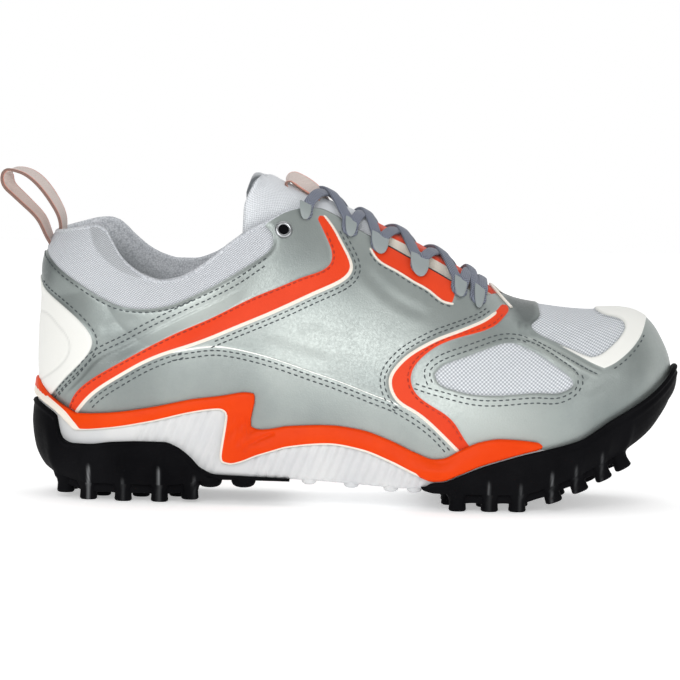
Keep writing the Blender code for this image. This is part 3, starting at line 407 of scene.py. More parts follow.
# Camera at the photograph's angle, its place found from what the photograph measures
view = {
    "target": np.array((139.7, 0.0, 73.7)),  # point of the shoe at the middle of the picture
    "distance": 3000.0,
    "elevation": math.radians(5.0),
    "roll": 0.021,
    "scale": 2.167,  # pixels for a millimetre at the near side
    "nearSide": 20.0,
    "size": 680.0,
    "sensor": 36.0,
}
rise = np.array((0, math.sin(view["elevation"]), math.cos(view["elevation"])))
toCamera = np.array((0, -math.cos(view["elevation"]), math.sin(view["elevation"])))
ahead = np.array((1.0, 0, 0))
pictureRight = ahead * math.cos(view["roll"]) + rise * math.sin(view["roll"])
pictureUp = rise * math.cos(view["roll"]) - ahead * math.sin(view["roll"])
eye = view["target"] + toCamera * view["distance"]
focal = view["scale"] * (view["distance"] - view["nearSide"])


def pixelOf(points):
    # place in the 680 by 680 picture
    d = points - eye
    depth = -(d @ toCamera)
    half = view["size"] / 2
    right, up = (focal * (d @ way) / depth for way in (pictureRight, pictureUp))
    return np.stack([half + right, half - up], axis=-1)


def addCamera():
    data = bpy.data.cameras.new("camera")
    data.sensor_width = view["sensor"]
    data.lens = focal * view["sensor"] / view["size"]
    data.clip_end = 20.0
    camera = bpy.data.objects.new("camera", data)
    bpy.context.scene.collection.objects.link(camera)
    turn = np.eye(4)
    turn[:3, 0], turn[:3, 1], turn[:3, 2] = pictureRight, pictureUp, toCamera
    turn[:3, 3] = (eye - last["origin"]) * 0.001
    camera.matrix_world = Matrix(turn.tolist())
    bpy.context.scene.camera = camera


addCamera()
print("camera placed")

# Chart of the upper: s along the last's outline, t up its section, both in millimetres, lateral side
chartA = np.linspace(0, math.pi, 601)
chartPhi = np.linspace(0, halfPi, 161)


def makeChart():
    # s is the plan length of a low line round the last, t the length up each section
    points = body(chartA[:, None], lateral, np.sin(chartPhi) ** (2 / squareOf(chartA)[:, None]))
    low = points[:, len(chartPhi) // 4]
    s = np.concatenate([[0], np.cumsum(np.hypot(*np.diff(low[:, :2], axis=0).T))])
    return s, lengthAlong(points, axis=1), points


chartS, chartT, chartPoints = makeChart()


def phiOf(a, f):
    # section angle of a height share, 0 at the footbed and a quarter turn at the ridge
    return np.arcsin(np.clip(f, 0, 1) ** (squareOf(a) / 2))


def shareOfPhi(a, phi):
    return np.sin(phi) ** (2 / squareOf(a))


def chartOf(a, phi):
    # s and t of a skin point, between the chart's own points
    a, phi = np.broadcast_arrays(np.asarray(a, float), np.asarray(phi, float))
    u = np.clip(a / chartA[1], 0, len(chartA) - 1.001)
    v = np.clip(phi / chartPhi[1], 0, len(chartPhi) - 1.001)
    i, j = u.astype(int), v.astype(int)
    u, v = u - i, v - j
    low = chartT[i, j] * (1 - u) + chartT[i + 1, j] * u
    high = chartT[i, j + 1] * (1 - u) + chartT[i + 1, j + 1] * u
    return np.stack([np.interp(a, chartA, chartS), low * (1 - v) + high * v], axis=-1)


def fromChart(s, t):
    # station angle and section angle of chart places
    a = np.interp(s, chartS, chartA)
    u = np.clip(a / chartA[1], 0, len(chartA) - 1.001)
    i = u.astype(int)
    u = (u - i)[:, None]
    rows = chartT[i] * (1 - u) + chartT[i + 1] * u
    j = np.clip((rows < t[:, None]).sum(axis=1) - 1, 0, len(chartPhi) - 2)
    each = np.arange(len(a))
    share = (t - rows[each, j]) / (rows[each, j + 1] - rows[each, j])
    return a, chartPhi[1] * (j + np.clip(share, 0, 1))


ridgeOver = 8.0  # outlines are closed this far past the ridge, so that a straight run stays over it


def toChart(pixels):
    # chart place seen at a picture point: nearest chart point, then Newton steps; a point given as
    # (x, 0) lies on the ridge
    pixels = np.array(pixels, float)
    seen = chartPoints[::6, ::4].reshape(-1, 3)
    ways = np.stack(np.meshgrid(chartA[::6], chartPhi[::4], indexing="ij"), axis=-1).reshape(-1, 2)
    facing = np.einsum("ij,j->i", normalOf(ways[:, 0], lateral, shareOfPhi(*ways.T)), toCamera) > 0.02
    seen, ways = pixelOf(seen[facing]), ways[facing]
    onRidge = pixels[:, 1] == 0
    gap = ((pixels[:, None, :] - seen[None]) ** 2).sum(axis=-1)
    a, phi = ways[np.argmin(gap, axis=1)].T.copy()
    step, longest = 0.001, 0.1

    def spot(a, phi):
        return pixelOf(body(a, lateral, shareOfPhi(a, phi)))

    for _ in range(6):
        here = spot(a, phi)
        byA = (spot(a + step, phi) - here) / step
        byPhi = (spot(a, phi - step) - here) / -step
        miss = pixels - here
        det = byA[:, 0] * byPhi[:, 1] - byA[:, 1] * byPhi[:, 0]
        det = np.where(np.abs(det) < 1e-6, 1e-6, det)
        moveA = (miss[:, 0] * byPhi[:, 1] - miss[:, 1] * byPhi[:, 0]) / det
        movePhi = (miss[:, 1] * byA[:, 0] - miss[:, 0] * byA[:, 1]) / det
        a = np.clip(a + np.clip(moveA, -longest, longest), 0, math.pi - 2 * step)
        phi = np.clip(phi + np.clip(movePhi, -longest, longest), 2 * step, halfPi)
    top = pixelOf(chartPoints[:, -1])[:, 0]
    a = np.where(onRidge, np.interp(pixels[:, 0], top, chartA), a)
    places = chartOf(a, np.where(onRidge, halfPi, phi))
    places[onRidge, 1] += ridgeOver
    return places


def curve(points, step=1.0):
    # smooth open line through points, sampled at equal steps
    points = np.asarray(points, float)
    run = lengthAlong(points)
    at = np.linspace(0, run[-1], max(3, int(run[-1] / step) + 1))
    return np.stack([spline(at, run, points[:, k]) for k in range(points.shape[1])], axis=-1)


def seamLine(points):
    # smooth chart line through picture points
    return curve(toChart(points))


def signedDistance(places, loop):
    # distance to a closed outline, positive inside
    near = np.full(len(places), 1e9)
    inside = np.zeros(len(places), bool)
    for p, q in zip(loop, np.roll(loop, -1, axis=0)):
        edge = q - p
        size = edge @ edge
        if size < 1e-12:
            continue
        share = np.clip(((places - p) @ edge) / size, 0, 1)
        near = np.minimum(near, ((places - p - share[:, None] * edge) ** 2).sum(axis=1))
        crosses = (p[1] > places[:, 1]) != (q[1] > places[:, 1])
        climb = edge[1] if abs(edge[1]) > 1e-12 else 1e-12
        inside ^= crosses & (places[:, 0] < p[0] + (places[:, 1] - p[1]) * edge[0] / climb)
    return np.where(inside, 1, -1) * np.sqrt(near)


def lineDistance(places, line):
    # distance to an open line, positive on its left
    near = np.full(len(places), 1e9)
    left = np.ones(len(places))
    for p, q in zip(line[:-1], line[1:]):
        edge = q - p
        share = np.clip(((places - p) @ edge) / max(edge @ edge, 1e-12), 0, 1)
        off = places - p - share[:, None] * edge
        gap = (off**2).sum(axis=1)
        closer = gap < near
        near = np.where(closer, gap, near)
        left = np.where(closer, np.sign(edge[0] * off[:, 1] - edge[1] * off[:, 0]), left)
    return left * np.sqrt(near)


def step01(d, width):
    # soft step of a given width, from 0 outside to 1 inside
    t = np.clip(d / width + 0.5, 0, 1)
    return t * t * (3 - 2 * t)


def bell(d, width):
    # 1 at the middle, falling off on both sides
    return np.exp(-((d / width) ** 2))


# Shader building blocks
def newMaterial(name, **sockets):
    # material with constant values set on the shader's own sockets
    material = bpy.data.materials.new(name)
    material.use_nodes = True
    shader = material.node_tree.nodes["Principled BSDF"]
    for label, value in sockets.items():
        shader.inputs[socketNames[label]].default_value = value
    return material, material.node_tree, shader


socketNames = {
    "colour": "Base Color",
    "rough": "Roughness",
    "metal": "Metallic",
    "coat": "Coat Weight",
    "coatRough": "Coat Roughness",
    "sheen": "Sheen Weight",
    "sheenRough": "Sheen Roughness",
    "specular": "Specular IOR Level",
    "glow": "Emission Color",
    "glowStrength": "Emission Strength",
}


def put(tree, kind, inputs=None, **settings):
    # a node with its settings, each input a value or a link
    made = tree.nodes.new("ShaderNode" + kind)
    for label, value in settings.items():
        setattr(made, label, value)
    for label, value in (inputs or {}).items():
        if isinstance(value, bpy.types.NodeSocket):
            tree.links.new(value, made.inputs[label])
        else:
            made.inputs[label].default_value = value
    return made


def maths(tree, operation, a, b=0.0):
    return put(tree, "Math", {0: a, 1: b}, operation=operation).outputs[0]


def blendColour(tree, share, a, b):
    return put(tree, "Mix", {0: share, 6: a, 7: b}, data_type="RGBA").outputs[2]


def blendValue(tree, share, a, b):
    return put(tree, "Mix", {0: share, 2: a, 3: b}).outputs[0]


def attribute(tree, name, vector=False):
    found = put(tree, "Attribute", attribute_name=name)
    return found.outputs["Vector"] if vector else found.outputs["Fac"]


def remap(tree, value, low, high, newLow=0.0, newHigh=1.0):
    # value stretched from one range to another, held at its ends
    ends = {"From Min": low, "From Max": high, "To Min": newLow, "To Max": newHigh}
    return put(tree, "MapRange", {"Value": value, **ends}).outputs[0]


def noise(tree, where, scale, detail=3.0, rough=0.55):
    settings = {"Scale": scale, "Detail": detail, "Roughness": rough}
    return put(tree, "TexNoise", {"Vector": where, **settings}).outputs[0]


def sineWave(tree, value, pitch):
    return maths(tree, "SINE", maths(tree, "MULTIPLY", value, 2 * math.pi / pitch))


def objectPlace(tree):
    return put(tree, "TexCoord").outputs["Object"]


def paint(tree, shader, colour):
    tree.links.new(colour, shader.inputs["Base Color"])


def bump(tree, shader, height, strength, distance):
    made = put(tree, "Bump", {"Height": height, "Strength": strength, "Distance": distance})
    tree.links.new(made.outputs[0], shader.inputs["Normal"])


def rgb(red, green, blue):
    # linear colour from the 0 to 255 values seen in the picture
    c = np.array((red, green, blue)) / 255
    c = np.where(c <= 0.04045, c / 12.92, ((c + 0.055) / 1.055) ** 2.4)
    return (*c.tolist(), 1.0)


tones = {
    "silver": rgb(142, 150, 148),
    "silverLight": rgb(163, 170, 167),
    "silverDark": rgb(96, 102, 101),
    "textile": rgb(226, 229, 233),
    "textileGap": rgb(168, 172, 178),
    "mesh": rgb(234, 237, 241),
    "meshHole": rgb(172, 177, 183),
    "tongueGap": rgb(196, 200, 204),
    # lighter and darker silver for the painted highlights and painted shade
    "silverShadow": rgb(100, 107, 106),
    "silverHighlight": rgb(182, 189, 185),
    "white": rgb(240, 240, 235),
    "orange": rgb(232, 72, 36),
    "orangeShade": rgb(220, 62, 28),
    "cream": rgb(240, 231, 218),
    "thread": rgb(84, 92, 94),
    "lining": rgb(176, 181, 184),
    "liningDark": rgb(150, 155, 158),
    # near black of the painted shadow line along the lining's rim and throat edge
    "liningShadow": rgb(34, 36, 40),
    # dark grey that paints the shade on the tongue's inner face
    "tongueInsideShade": rgb(104, 109, 113),
    "foam": rgb(218, 219, 219),
    "foamShade": rgb(200, 202, 205),
    "frameOrange": rgb(234, 70, 8),
    "frameShade": rgb(224, 60, 5),
    "rubber": rgb(13, 13, 15),
    "rubberWorn": rgb(22, 22, 24),
    # grey of the painted highlight streaks on the studs
    "rubberHighlight": rgb(150, 152, 154),
    "threadOrange": rgb(150, 44, 26),
    "lace": rgb(128, 134, 150),
    "laceDark": rgb(86, 91, 104),
    "tab": rgb(146, 154, 156),
    "webbing": rgb(226, 212, 206),
    "webbingEdge": rgb(224, 150, 132),
    "webbingLine": rgb(132, 104, 94),
    "webbingGap": rgb(196, 180, 172),
    "seamShade": (0.10, 0.11, 0.11, 1),
    "insole": rgb(120, 124, 128),
    "insoleGap": rgb(84, 88, 92),
    "threadDark": rgb(66, 72, 74),
    "metal": rgb(176, 178, 180),
}


skinLook = {
    "edge": 0.16,  # half width of a panel's edge, in millimetres
    "darkEdge": 3.2,
    "piping": (0.45, 0.25),
    "knit": (1.5, 1.1, 0.25),  # pitches along s and t in millimetres, slant
    "holes": (1.9, 1.9, 0.0),
    "leatherRough": (0.34, 0.5),
    "filmRough": 0.45,
    "clothRough": 0.85,
    "metal": 0.55,
    "specular": (0.35, 0.1),  # leather, film
}


def makeSkinMaterial():
    # one leather and textile skin whose regions come from signed distances kept on the mesh
    material, tree, shader = newMaterial("upperSkin", coat=0.05, coatRough=0.35, specular=0.35)
    chart = attribute(tree, "chart", True)
    place = objectPlace(tree)

    def region(name, edge=skinLook["edge"]):
        return remap(tree, attribute(tree, name), -edge, edge)

    orange, cream, white = region("orange"), region("cream"), region("white")
    textile, mesh = region("textile"), region("mesh")
    dark = region("dark", skinLook["darkEdge"])
    piping = remap(tree, maths(tree, "ABSOLUTE", attribute(tree, "piping")), *skinLook["piping"])
    tone = attribute(tree, "tone")
    cloud = noise(tree, place, 28.0, 4.0)
    fine = noise(tree, place, 900.0, 2.0)
    silver = blendColour(tree, remap(tree, cloud, 0.3, 0.7), tones["silver"], tones["silverLight"])
    # painted highlights and painted shade in broad places of the silver and along its ribs
    paintedLight = attribute(tree, "paintedLight")
    silver = blendColour(tree, remap(tree, paintedLight, 0.0, 1.0), silver, tones["silverHighlight"])
    silver = blendColour(tree, remap(tree, paintedLight, 0.0, -1.0), silver, tones["silverShadow"])
    silver = blendColour(tree, dark, silver, tones["silverDark"])
    split = put(tree, "SeparateXYZ", {0: chart})
    s, t = split.outputs[0], split.outputs[1]

    def weave(pitchS, pitchT, slant):
        # product of two sine waves in chart millimetres, 1 on the thread and 0 in the gap
        u = maths(tree, "ADD", s, maths(tree, "MULTIPLY", t, slant))
        v = maths(tree, "ADD", t, maths(tree, "MULTIPLY", s, -slant))
        wave = maths(tree, "MULTIPLY", sineWave(tree, u, pitchS), sineWave(tree, v, pitchT))
        return remap(tree, wave, -0.5, 0.6)

    knit, holes = weave(*skinLook["knit"]), weave(*skinLook["holes"])
    textileColour = blendColour(tree, knit, tones["textileGap"], tones["textile"])
    meshColour = blendColour(tree, holes, tones["meshHole"], tones["mesh"])
    orangeColour = blendColour(tree, remap(tree, cloud, 0.35, 0.75), tones["orange"], tones["orangeShade"])
    colour = blendColour(tree, textile, silver, textileColour)
    colour = blendColour(tree, mesh, colour, meshColour)
    colour = blendColour(tree, maths(tree, "MAXIMUM", white, piping), colour, tones["white"])
    colour = blendColour(tree, orange, colour, orangeColour)
    colour = blendColour(tree, cream, colour, tones["cream"])
    # painted shade beside edges and seams, from the tone attribute
    paint(tree, shader, blendColour(tree, tone, colour, tones["seamShade"]))
    soft = maths(tree, "MAXIMUM", textile, mesh)
    leatherRough = remap(tree, fine, 0.3, 0.7, *skinLook["leatherRough"])
    rough = blendValue(tree, soft, leatherRough, skinLook["clothRough"])
    rough = blendValue(tree, maths(tree, "MAXIMUM", white, orange), rough, skinLook["filmRough"])
    tree.links.new(rough, shader.inputs["Roughness"])
    plain = maths(tree, "MAXIMUM", maths(tree, "MAXIMUM", soft, white), maths(tree, "MAXIMUM", orange, cream))
    tree.links.new(blendValue(tree, plain, skinLook["metal"], 0.0), shader.inputs["Metallic"])
    specular = blendValue(tree, orange, *skinLook["specular"])
    tree.links.new(specular, shader.inputs["Specular IOR Level"])
    grain = put(tree, "TexVoronoi", {"Vector": place, "Scale": 800.0}, feature="DISTANCE_TO_EDGE").outputs[0]
    grain = maths(tree, "ADD", maths(tree, "MINIMUM", grain, 0.25), maths(tree, "MULTIPLY", fine, 0.3))
    height = blendValue(tree, soft, maths(tree, "MULTIPLY", grain, 0.35), blendValue(tree, mesh, knit, holes))
    bump(tree, shader, height, 0.7, 0.0003)
    return material


def makeCloth(name, pitch, colourOf):
    # knitted cloth on object coordinates: fine cells and a cloudy tone give the share from light to dark
    material, tree, shader = newMaterial(name, rough=0.88, sheen=0.2, sheenRough=0.5)
    place = objectPlace(tree)
    cells = put(tree, "TexVoronoi", {"Vector": place, "Scale": pitch}).outputs[0]
    cloud = noise(tree, place, 40.0)
    shade = maths(tree, "ADD", maths(tree, "MULTIPLY", cells, 0.7), maths(tree, "MULTIPLY", cloud, 0.4))
    paint(tree, shader, colourOf(tree, remap(tree, shade, 0.2, 0.85)))
    bump(tree, shader, cells, 0.4, 0.0004)
    return material


def insoleColour(tree, share):
    return blendColour(tree, share, tones["insole"], tones["insoleGap"])


def liningColour(tree, share):
    # pale on the rolled collar edge, darker further in, and a painted shadow line, darkest, along the rim and
    # the throat's edge
    pale = blendColour(tree, share, tones["textile"], tones["textileGap"])
    deep = blendColour(tree, share, tones["lining"], tones["liningDark"])
    colour = blendColour(tree, attribute(tree, "inside"), pale, deep)
    return blendColour(tree, attribute(tree, "rim"), colour, tones["liningShadow"])


def makeMoulded(name, light, dark, roughness, grain=600.0, bumpiness=0.12, specular=0.5):
    # moulded rubber, foam or plastic: cloudy tone, fine skin texture, roughness that wanders
    material, tree, shader = newMaterial(name, specular=specular, coatRough=0.25)
    place = objectPlace(tree)
    cloud = noise(tree, place, 35.0, 4.0)
    fine = noise(tree, place, grain, 3.0)
    paint(tree, shader, blendColour(tree, remap(tree, cloud, 0.35, 0.75), tones[light], tones[dark]))
    tree.links.new(remap(tree, fine, 0.3, 0.7, *roughness), shader.inputs["Roughness"])
    bump(tree, shader, fine, bumpiness, 0.0004)
    return material


def overlaid(material, name, low, high, colour):
    # a moulded colour turned to another one as an attribute goes from low to high
    tree = material.node_tree
    shader = tree.nodes["Principled BSDF"]
    under = shader.inputs["Base Color"].links[0].from_socket
    share = remap(tree, attribute(tree, name), low, high)
    paint(tree, shader, blendColour(tree, share, under, tones[colour]))
    return material


tapeLook = {
    "pitch": (1.3, 0.9),  # of the herringbone, along and across, in millimetres
    "edge": (5.0, 5.2),  # distances from the middle where the warm edge and the brown line start
    "line": (5.75, 5.9),
}
tongueLook = {
    "knit": 1.15,
    "faced": (66.0, 65.4),  # length from the front that is faced with orange and cream
    "orange": (10.4, 10.1),
    "cream": (17.2, 16.9),
}


def weavePlaces(tree):
    # length along a piece and distance from its middle, in millimetres
    split = put(tree, "SeparateXYZ", {0: attribute(tree, "weave", True)})
    return split.outputs[0], split.outputs[1]


def makeWoven(name, light, dark, striped=False):
    # woven lace or tape: herringbone waves, and on the tape warm edges with a thin brown line
    material, tree, shader = newMaterial(name, rough=0.8, sheen=0.15, sheenRough=0.5)
    run, across = weavePlaces(tree)
    off = maths(tree, "ABSOLUTE", across)
    slanted = sineWave(tree, maths(tree, "ADD", run, off), tapeLook["pitch"][0])
    crossed = maths(tree, "MULTIPLY", sineWave(tree, across, tapeLook["pitch"][1]), 0.5)
    thread = remap(tree, maths(tree, "ADD", slanted, crossed), -1.2, 1.2)
    colour = blendColour(tree, thread, tones[dark], tones[light])
    if striped:
        colour = blendColour(tree, remap(tree, off, *tapeLook["edge"]), colour, tones["webbingEdge"])
        colour = blendColour(tree, remap(tree, off, *tapeLook["line"]), colour, tones["webbingLine"])
    paint(tree, shader, colour)
    bump(tree, shader, thread, 0.5, 0.0003)
    return material


def makeTongueMaterial():
    # pale mesh above, orange middle with white edges under the laces
    material, tree, shader = newMaterial("tongue", rough=0.82, sheen=0.2, sheenRough=0.5)
    run, across = weavePlaces(tree)
    waves = (sineWave(tree, way, tongueLook["knit"]) for way in (run, across))
    knit = remap(tree, maths(tree, "MULTIPLY", *waves), -0.6, 0.6)
    colour = blendColour(tree, knit, tones["tongueGap"], tones["mesh"])
    off = maths(tree, "ABSOLUTE", across)
    faced = remap(tree, run, *tongueLook["faced"])
    for tone in ("cream", "orange"):
        share = maths(tree, "MULTIPLY", remap(tree, off, *tongueLook[tone]), faced)
        colour = blendColour(tree, share, colour, tones[tone])
    # the inner face is painted darker than the lining, for its shade
    paint(tree, shader, blendColour(tree, attribute(tree, "inside"), colour, tones["tongueInsideShade"]))
    bump(tree, shader, knit, 0.45, 0.0003)
    return material


skinMaterial = makeSkinMaterial()
insoleMaterial = makeCloth("insole", 1200.0, insoleColour)
liningMaterial = makeCloth("collarLining", 1300.0, liningColour)
foamMaterial = makeMoulded("foam", "foam", "foamShade", (0.45, 0.6))
frameMaterial = makeMoulded("frameOrange", "frameOrange", "frameShade", (0.36, 0.48), 500.0, 0.06, 0.1)
frameMaterial = overlaid(frameMaterial, "above", 0.95, 0.75, "cream")
rubberMaterial = makeMoulded("rubber", "rubber", "rubberWorn", (0.45, 0.58), 700.0, 0.1, 0.012)
# the grey streaks up the studs are painted highlights
rubberMaterial = overlaid(rubberMaterial, "studHighlight", 0.0, 1.0, "rubberHighlight")
tabMaterial = makeMoulded("tabLeather", "tab", "silver", (0.42, 0.58), 900.0, 0.2)
threadMaterial = makeMoulded("thread", "thread", "threadDark", (0.6, 0.75), 2000.0, 0.2)
orangeThread = makeMoulded("threadOrange", "threadOrange", "orangeShade", (0.6, 0.75), 2000.0, 0.2)
metalMaterial = newMaterial("eyeletMetal", colour=tones["metal"], metal=1.0, rough=0.28)[0]
beadMaterial = makeMoulded("bead", "cream", "white", (0.5, 0.6), 900.0, 0.15)
laceMaterial = makeWoven("lace", "lace", "laceDark")
webbingMaterial = makeWoven("webbing", "webbing", "webbingGap", striped=True)
tongueMaterial = makeTongueMaterial()
print("materials made")

# Edges and seams of the upper in picture points; a point (x, 0) lies on the ridge
seams = {
    "rearUpper": [(69, 407), (74, 396), (88.7, 381.2), (118, 363.6), (147.4, 347.5), (176.7, 332.8),
        (206, 320.3), (235.4, 306), (255.5, 296.5), (281, 286.3), (306.5, 276), (322, 270.5), (330.5, 263),
        (332, 254.4), (328.2, 241.6), (321.8, 227.6), (318, 220)],
    "rearTip": [(318, 220), (319, 216.4), (321.2, 215.5), (324.4, 217.4)],
    "rearLower": [(324.4, 217.4), (332, 227.6), (341, 244.2), (348.6, 259.5), (350.3, 267.1),
        (346.5, 275.2), (338.4, 281.2), (319.3, 290), (293.8, 301.6), (268.3, 313), (235.4, 326.5),
        (213.4, 335.7), (191.4, 343.8), (169.4, 350.8), (147.4, 359.2), (118, 375.3), (91.6, 393),
        (76, 411)],
    "foreUpper": [(507.5, 306), (503.5, 304.3), (499.5, 307), (494, 313), (485.7, 319), (473, 325),
        (460.4, 330), (448, 334.5), (437.4, 338.6), (424, 345.2), (410, 353.6), (396.5, 366),
        (389.4, 379.3), (390.2, 388.9), (397.4, 401.6), (413.4, 412.2), (437.3, 432), (456.4, 451)],
    "foreLower": [(470, 447), (463.8, 438.4), (457, 427), (450, 418.5), (438.3, 410), (425.5, 402),
        (415.3, 392.5), (411, 381.5), (411.5, 373.5), (414.5, 366.5), (423, 356.8), (438.3, 345.8),
        (453.6, 339.4), (471.4, 334.4), (485.6, 330.3), (497, 324.3), (504.5, 316.5), (508.5, 310),
        (507.5, 306)],
    "eyestayTop": [(371.6, 249.3), (376, 246), (382, 242), (390, 242.5), (403, 249.5), (416.7, 257.5),
        (432.8, 264.5), (446, 273), (451.8, 281.8)],
    "eyestaySide": [(451.8, 281.8), (454.8, 292.5), (451.8, 303.2)],
    "eyestayLow": [(451.8, 303.2), (444.6, 301.4), (430, 290.6), (415, 281.8), (395.8, 270), (378, 259),
        (371.6, 249.3)],
    "collarSeam": [(38, 243), (48.9, 256.8), (58, 268), (72, 279.3), (93, 293.3), (114.2, 304.5),
        (128.2, 308), (149.3, 308.7), (170.3, 305.2), (191.4, 296.5), (220, 282.5), (245, 267.5),
        (262, 256.5), (270.5, 249), (273.4, 238), (268, 228), (258, 221)],
    "rollLine": [(85, 221), (89.5, 232), (93, 245), (102, 258), (115, 269), (133, 277), (152, 279.5),
        (172, 277), (190, 269), (206, 260)],
    "band": [(57, 394), (66, 383), (74, 375.4), (93, 354.5), (118, 341), (147.4, 325.5), (176.7, 311),
        (206, 297.5), (235.4, 282.5), (255, 269.5), (269, 259.5)],
    "saddle": [(169.4, 352.5), (191.4, 349), (213.4, 346.7), (230, 348.2), (246, 351.4), (277.8, 360.2),
        (309.7, 371.3), (341.6, 382.5), (373.5, 395.2), (397.4, 404.8), (416.5, 416), (437.3, 431.9),
        (455, 451)],
    "patch": [(43.5, 284), (46.1, 288.8), (59.3, 302), (74, 315.2), (87.2, 329.9), (92.3, 341.6),
        (90.1, 350.4), (79.9, 363.6), (66.7, 376.8), (54.2, 391.5), (49, 399)],
    "patchSeam": [(43, 309), (49.3, 314), (60.8, 327), (68, 337.5), (70.4, 347), (67.2, 357.6),
        (58.3, 367.8), (48, 375.5), (43, 378)],
    "windowEdge": [(434.8, 374), (441, 367), (455, 360.5), (471.4, 354.6), (492.9, 346.4), (503, 343.2),
        (511, 342.5), (525, 347), (542.9, 356.8), (560.7, 369.3), (571.5, 379), (573.4, 385),
        (567.9, 389.8), (542.9, 393), (507, 395.2), (471.4, 394.3), (450, 389), (437.5, 381.8),
        (434.8, 374)],
    "windowHigh": [(508, 341.5), (525, 346.5), (543, 356.5), (561, 369), (572, 379), (575, 385)],
    "vampSide": [(537, 0), (539.5, 310), (538.5, 317.5), (531.5, 325.5), (536, 331.5), (551.8, 340),
        (570, 348.5), (585, 355), (592, 357)],
    "vampFront": [(592, 357), (599.4, 355), (612, 345.6), (622.5, 333.6), (625.3, 326.5), (622.5, 320.5),
        (614, 316.5), (604, 314), (598, 311), (596, 0)],
    "stripFront": [(646.5, 0), (645.5, 320), (643.8, 327), (641.4, 334), (637.5, 341), (633, 347.2),
        (626.5, 354), (619.8, 359.7), (612, 364.8), (604, 368.3)],
    "stripSide": [(604, 368.3), (596, 365), (578, 355.5), (557, 344.5)],
    "stripInner": [(557, 344.5), (570, 348.5), (585, 355), (592, 357)],
    "stripLow": [(536, 335), (545, 339.5), (557, 345.5), (578, 356.5), (596, 366), (602.5, 369)],
    "throatEdge": [(500, 0), (505, 302), (510, 309), (516, 318), (524, 325.5), (531, 325), (538.4, 317.5),
        (539.5, 310), (537, 0)],
}
seams["windowLow"] = [(415.5, 378.5), (432, 384)] + seams["windowEdge"][16:9:-1]
seams["windowRear"] = seams["windowEdge"][-2:-1] + seams["windowEdge"][:8]
seams["foreBead"] = seams["foreUpper"][3:]
# panels as closed outlines of runs that meet at corners
panels = {
    "rear": ("rearUpper", "rearTip", "rearLower"),
    "fore": ("foreUpper", "foreLower"),
    "eyestay": ("eyestayTop", "eyestaySide", "eyestayLow"),
    "window": ("windowEdge",),
    "vamp": ("vampSide", "vampFront"),
    "strip": ("stripFront", "stripSide", "stripInner", "vampFront"),
    "throat": ("throatEdge",),
}
collarClose = {"over": (0.0, 45.0), "back": (12.0, 0.0)}  # how far the collar panel runs past its seam
# soft flex creases: line, depth, width
creases = [
    ([(520.5, 321), (522, 331), (529, 339)], 0.5, 0.9),
    ([(526, 324), (528, 331), (535, 337)], 0.5, 0.9),
    ([(300, 330), (330, 338), (362, 340)], 0.25, 3.0),
    ([(262, 340), (290, 352), (330, 362)], 0.22, 3.2),
    ([(100, 330), (118, 322), (138, 319)], 0.3, 2.5),
    ([(360, 262), (378, 284), (402, 303), (430, 316)], 0.25, 3.0),
    ([(580, 395), (598, 385), (618, 378)], 0.25, 3.0),
    ([(545, 328), (562, 331), (580, 330)], 0.3, 3.0),
]
# painted highlights and painted shade on the silver leather, as broad lighter and darker places: picture
# point, size in millimetres, amount
paintedLightPlaces = [
    ((205, 306), 20, 0.75), ((300, 348), 22, 0.7), ((360, 340), 20, 0.35), ((500, 424), 26, 0.85),
    ((440, 395), 12, 0.5), ((46, 270), 9, -1.3), ((70, 305), 10, -0.25), ((124, 349), 9, -0.5),
    ((95, 372), 9, -0.4), ((130, 392), 18, -0.4), ((240, 372), 20, -0.3), ((330, 388), 22, -0.2),
    ((300, 255), 14, -0.35), ((440, 312), 16, 0.2), ((600, 400), 16, -0.3),
]


def closedCollar(seam):
    # outline of the collar cloth: its seam, closed well above the edge and behind the heel
    over, back = (np.array(collarClose[way]) for way in ("over", "back"))
    return np.concatenate([seam, [seam[-1] + over, seam[0] + over - back, seam[0] - back]])


lines = {name: seamLine(points) for name, points in seams.items()}
loops = {name: np.concatenate([lines[run] for run in runs]) for name, runs in panels.items()}
loops["collar"] = closedCollar(lines["collarSeam"])
creases = [(seamLine(points), depth, width) for points, depth, width in creases]
paintedLightSpots = [(toChart([place])[0], size, amount) for place, size, amount in paintedLightPlaces]
print("panels charted")

grid = {
    "stations": 376,
    "rows": 126,
    "roll": 2.2,
    "rollThroat": 0.9,
    "rollEnds": (92.0, 112.0),  # stations between which the collar's roll becomes the throat's
    "rollFall": 2.0,
    "throatRound": 9.0,
}


def rollHeight(a):
    # how far the rounded collar edge stands over the end of the outer skin
    x = along(a)
    edge = grid["rollThroat"] + (grid["roll"] - grid["rollThroat"]) * fade(x, *grid["rollEnds"])
    return edge * np.clip((last["throatEnd"] - x) / grid["rollFall"], 0, 1)


def edgePhi(a, side, below=0.0):
    # section angle at a depth below the collar and throat edge
    return phiOf(a, shareOf(a, edgeOf(a, side) - below))


def topPhi(a, side):
    # section angle where the outer skin ends: under the rolled edge, on the ridge past the throat's round end
    low = edgePhi(a, side, rollHeight(a))
    opening = np.sqrt(np.clip((last["throatEnd"] - along(a)) / grid["throatRound"], 0, 1))
    return halfPi - (halfPi - low) * opening


def skinStations(count):
    # stations at equal steps along the outline, with one at the throat's end
    a = np.interp(np.linspace(0, chartS[-1], count), chartS, chartA)
    throat = angleOf(last["throatEnd"])
    a[np.argmin(np.abs(a - throat))] = throat
    return a


def evenRows(a, side, count):
    # section angles at equal steps up the section, for each station
    full = np.linspace(0, 1, 90)
    phi = topPhi(a, side)[:, None] * full
    points = body(a[:, None], side, shareOfPhi(a[:, None], phi))
    run = lengthAlong(points, axis=1)
    shares = np.linspace(0, 1, count)
    return np.stack([np.interp(shares * row[-1], row, line) for row, line in zip(run, phi)])


def taper(places, line):
    # 1 beside the middle of a line, 0 past its ends
    middle = line[len(line) // 2]
    reach = np.linalg.norm(line[-1] - line[0]) / 2
    return step01(reach * 0.9 - np.linalg.norm(places - middle, axis=1), reach * 0.4)


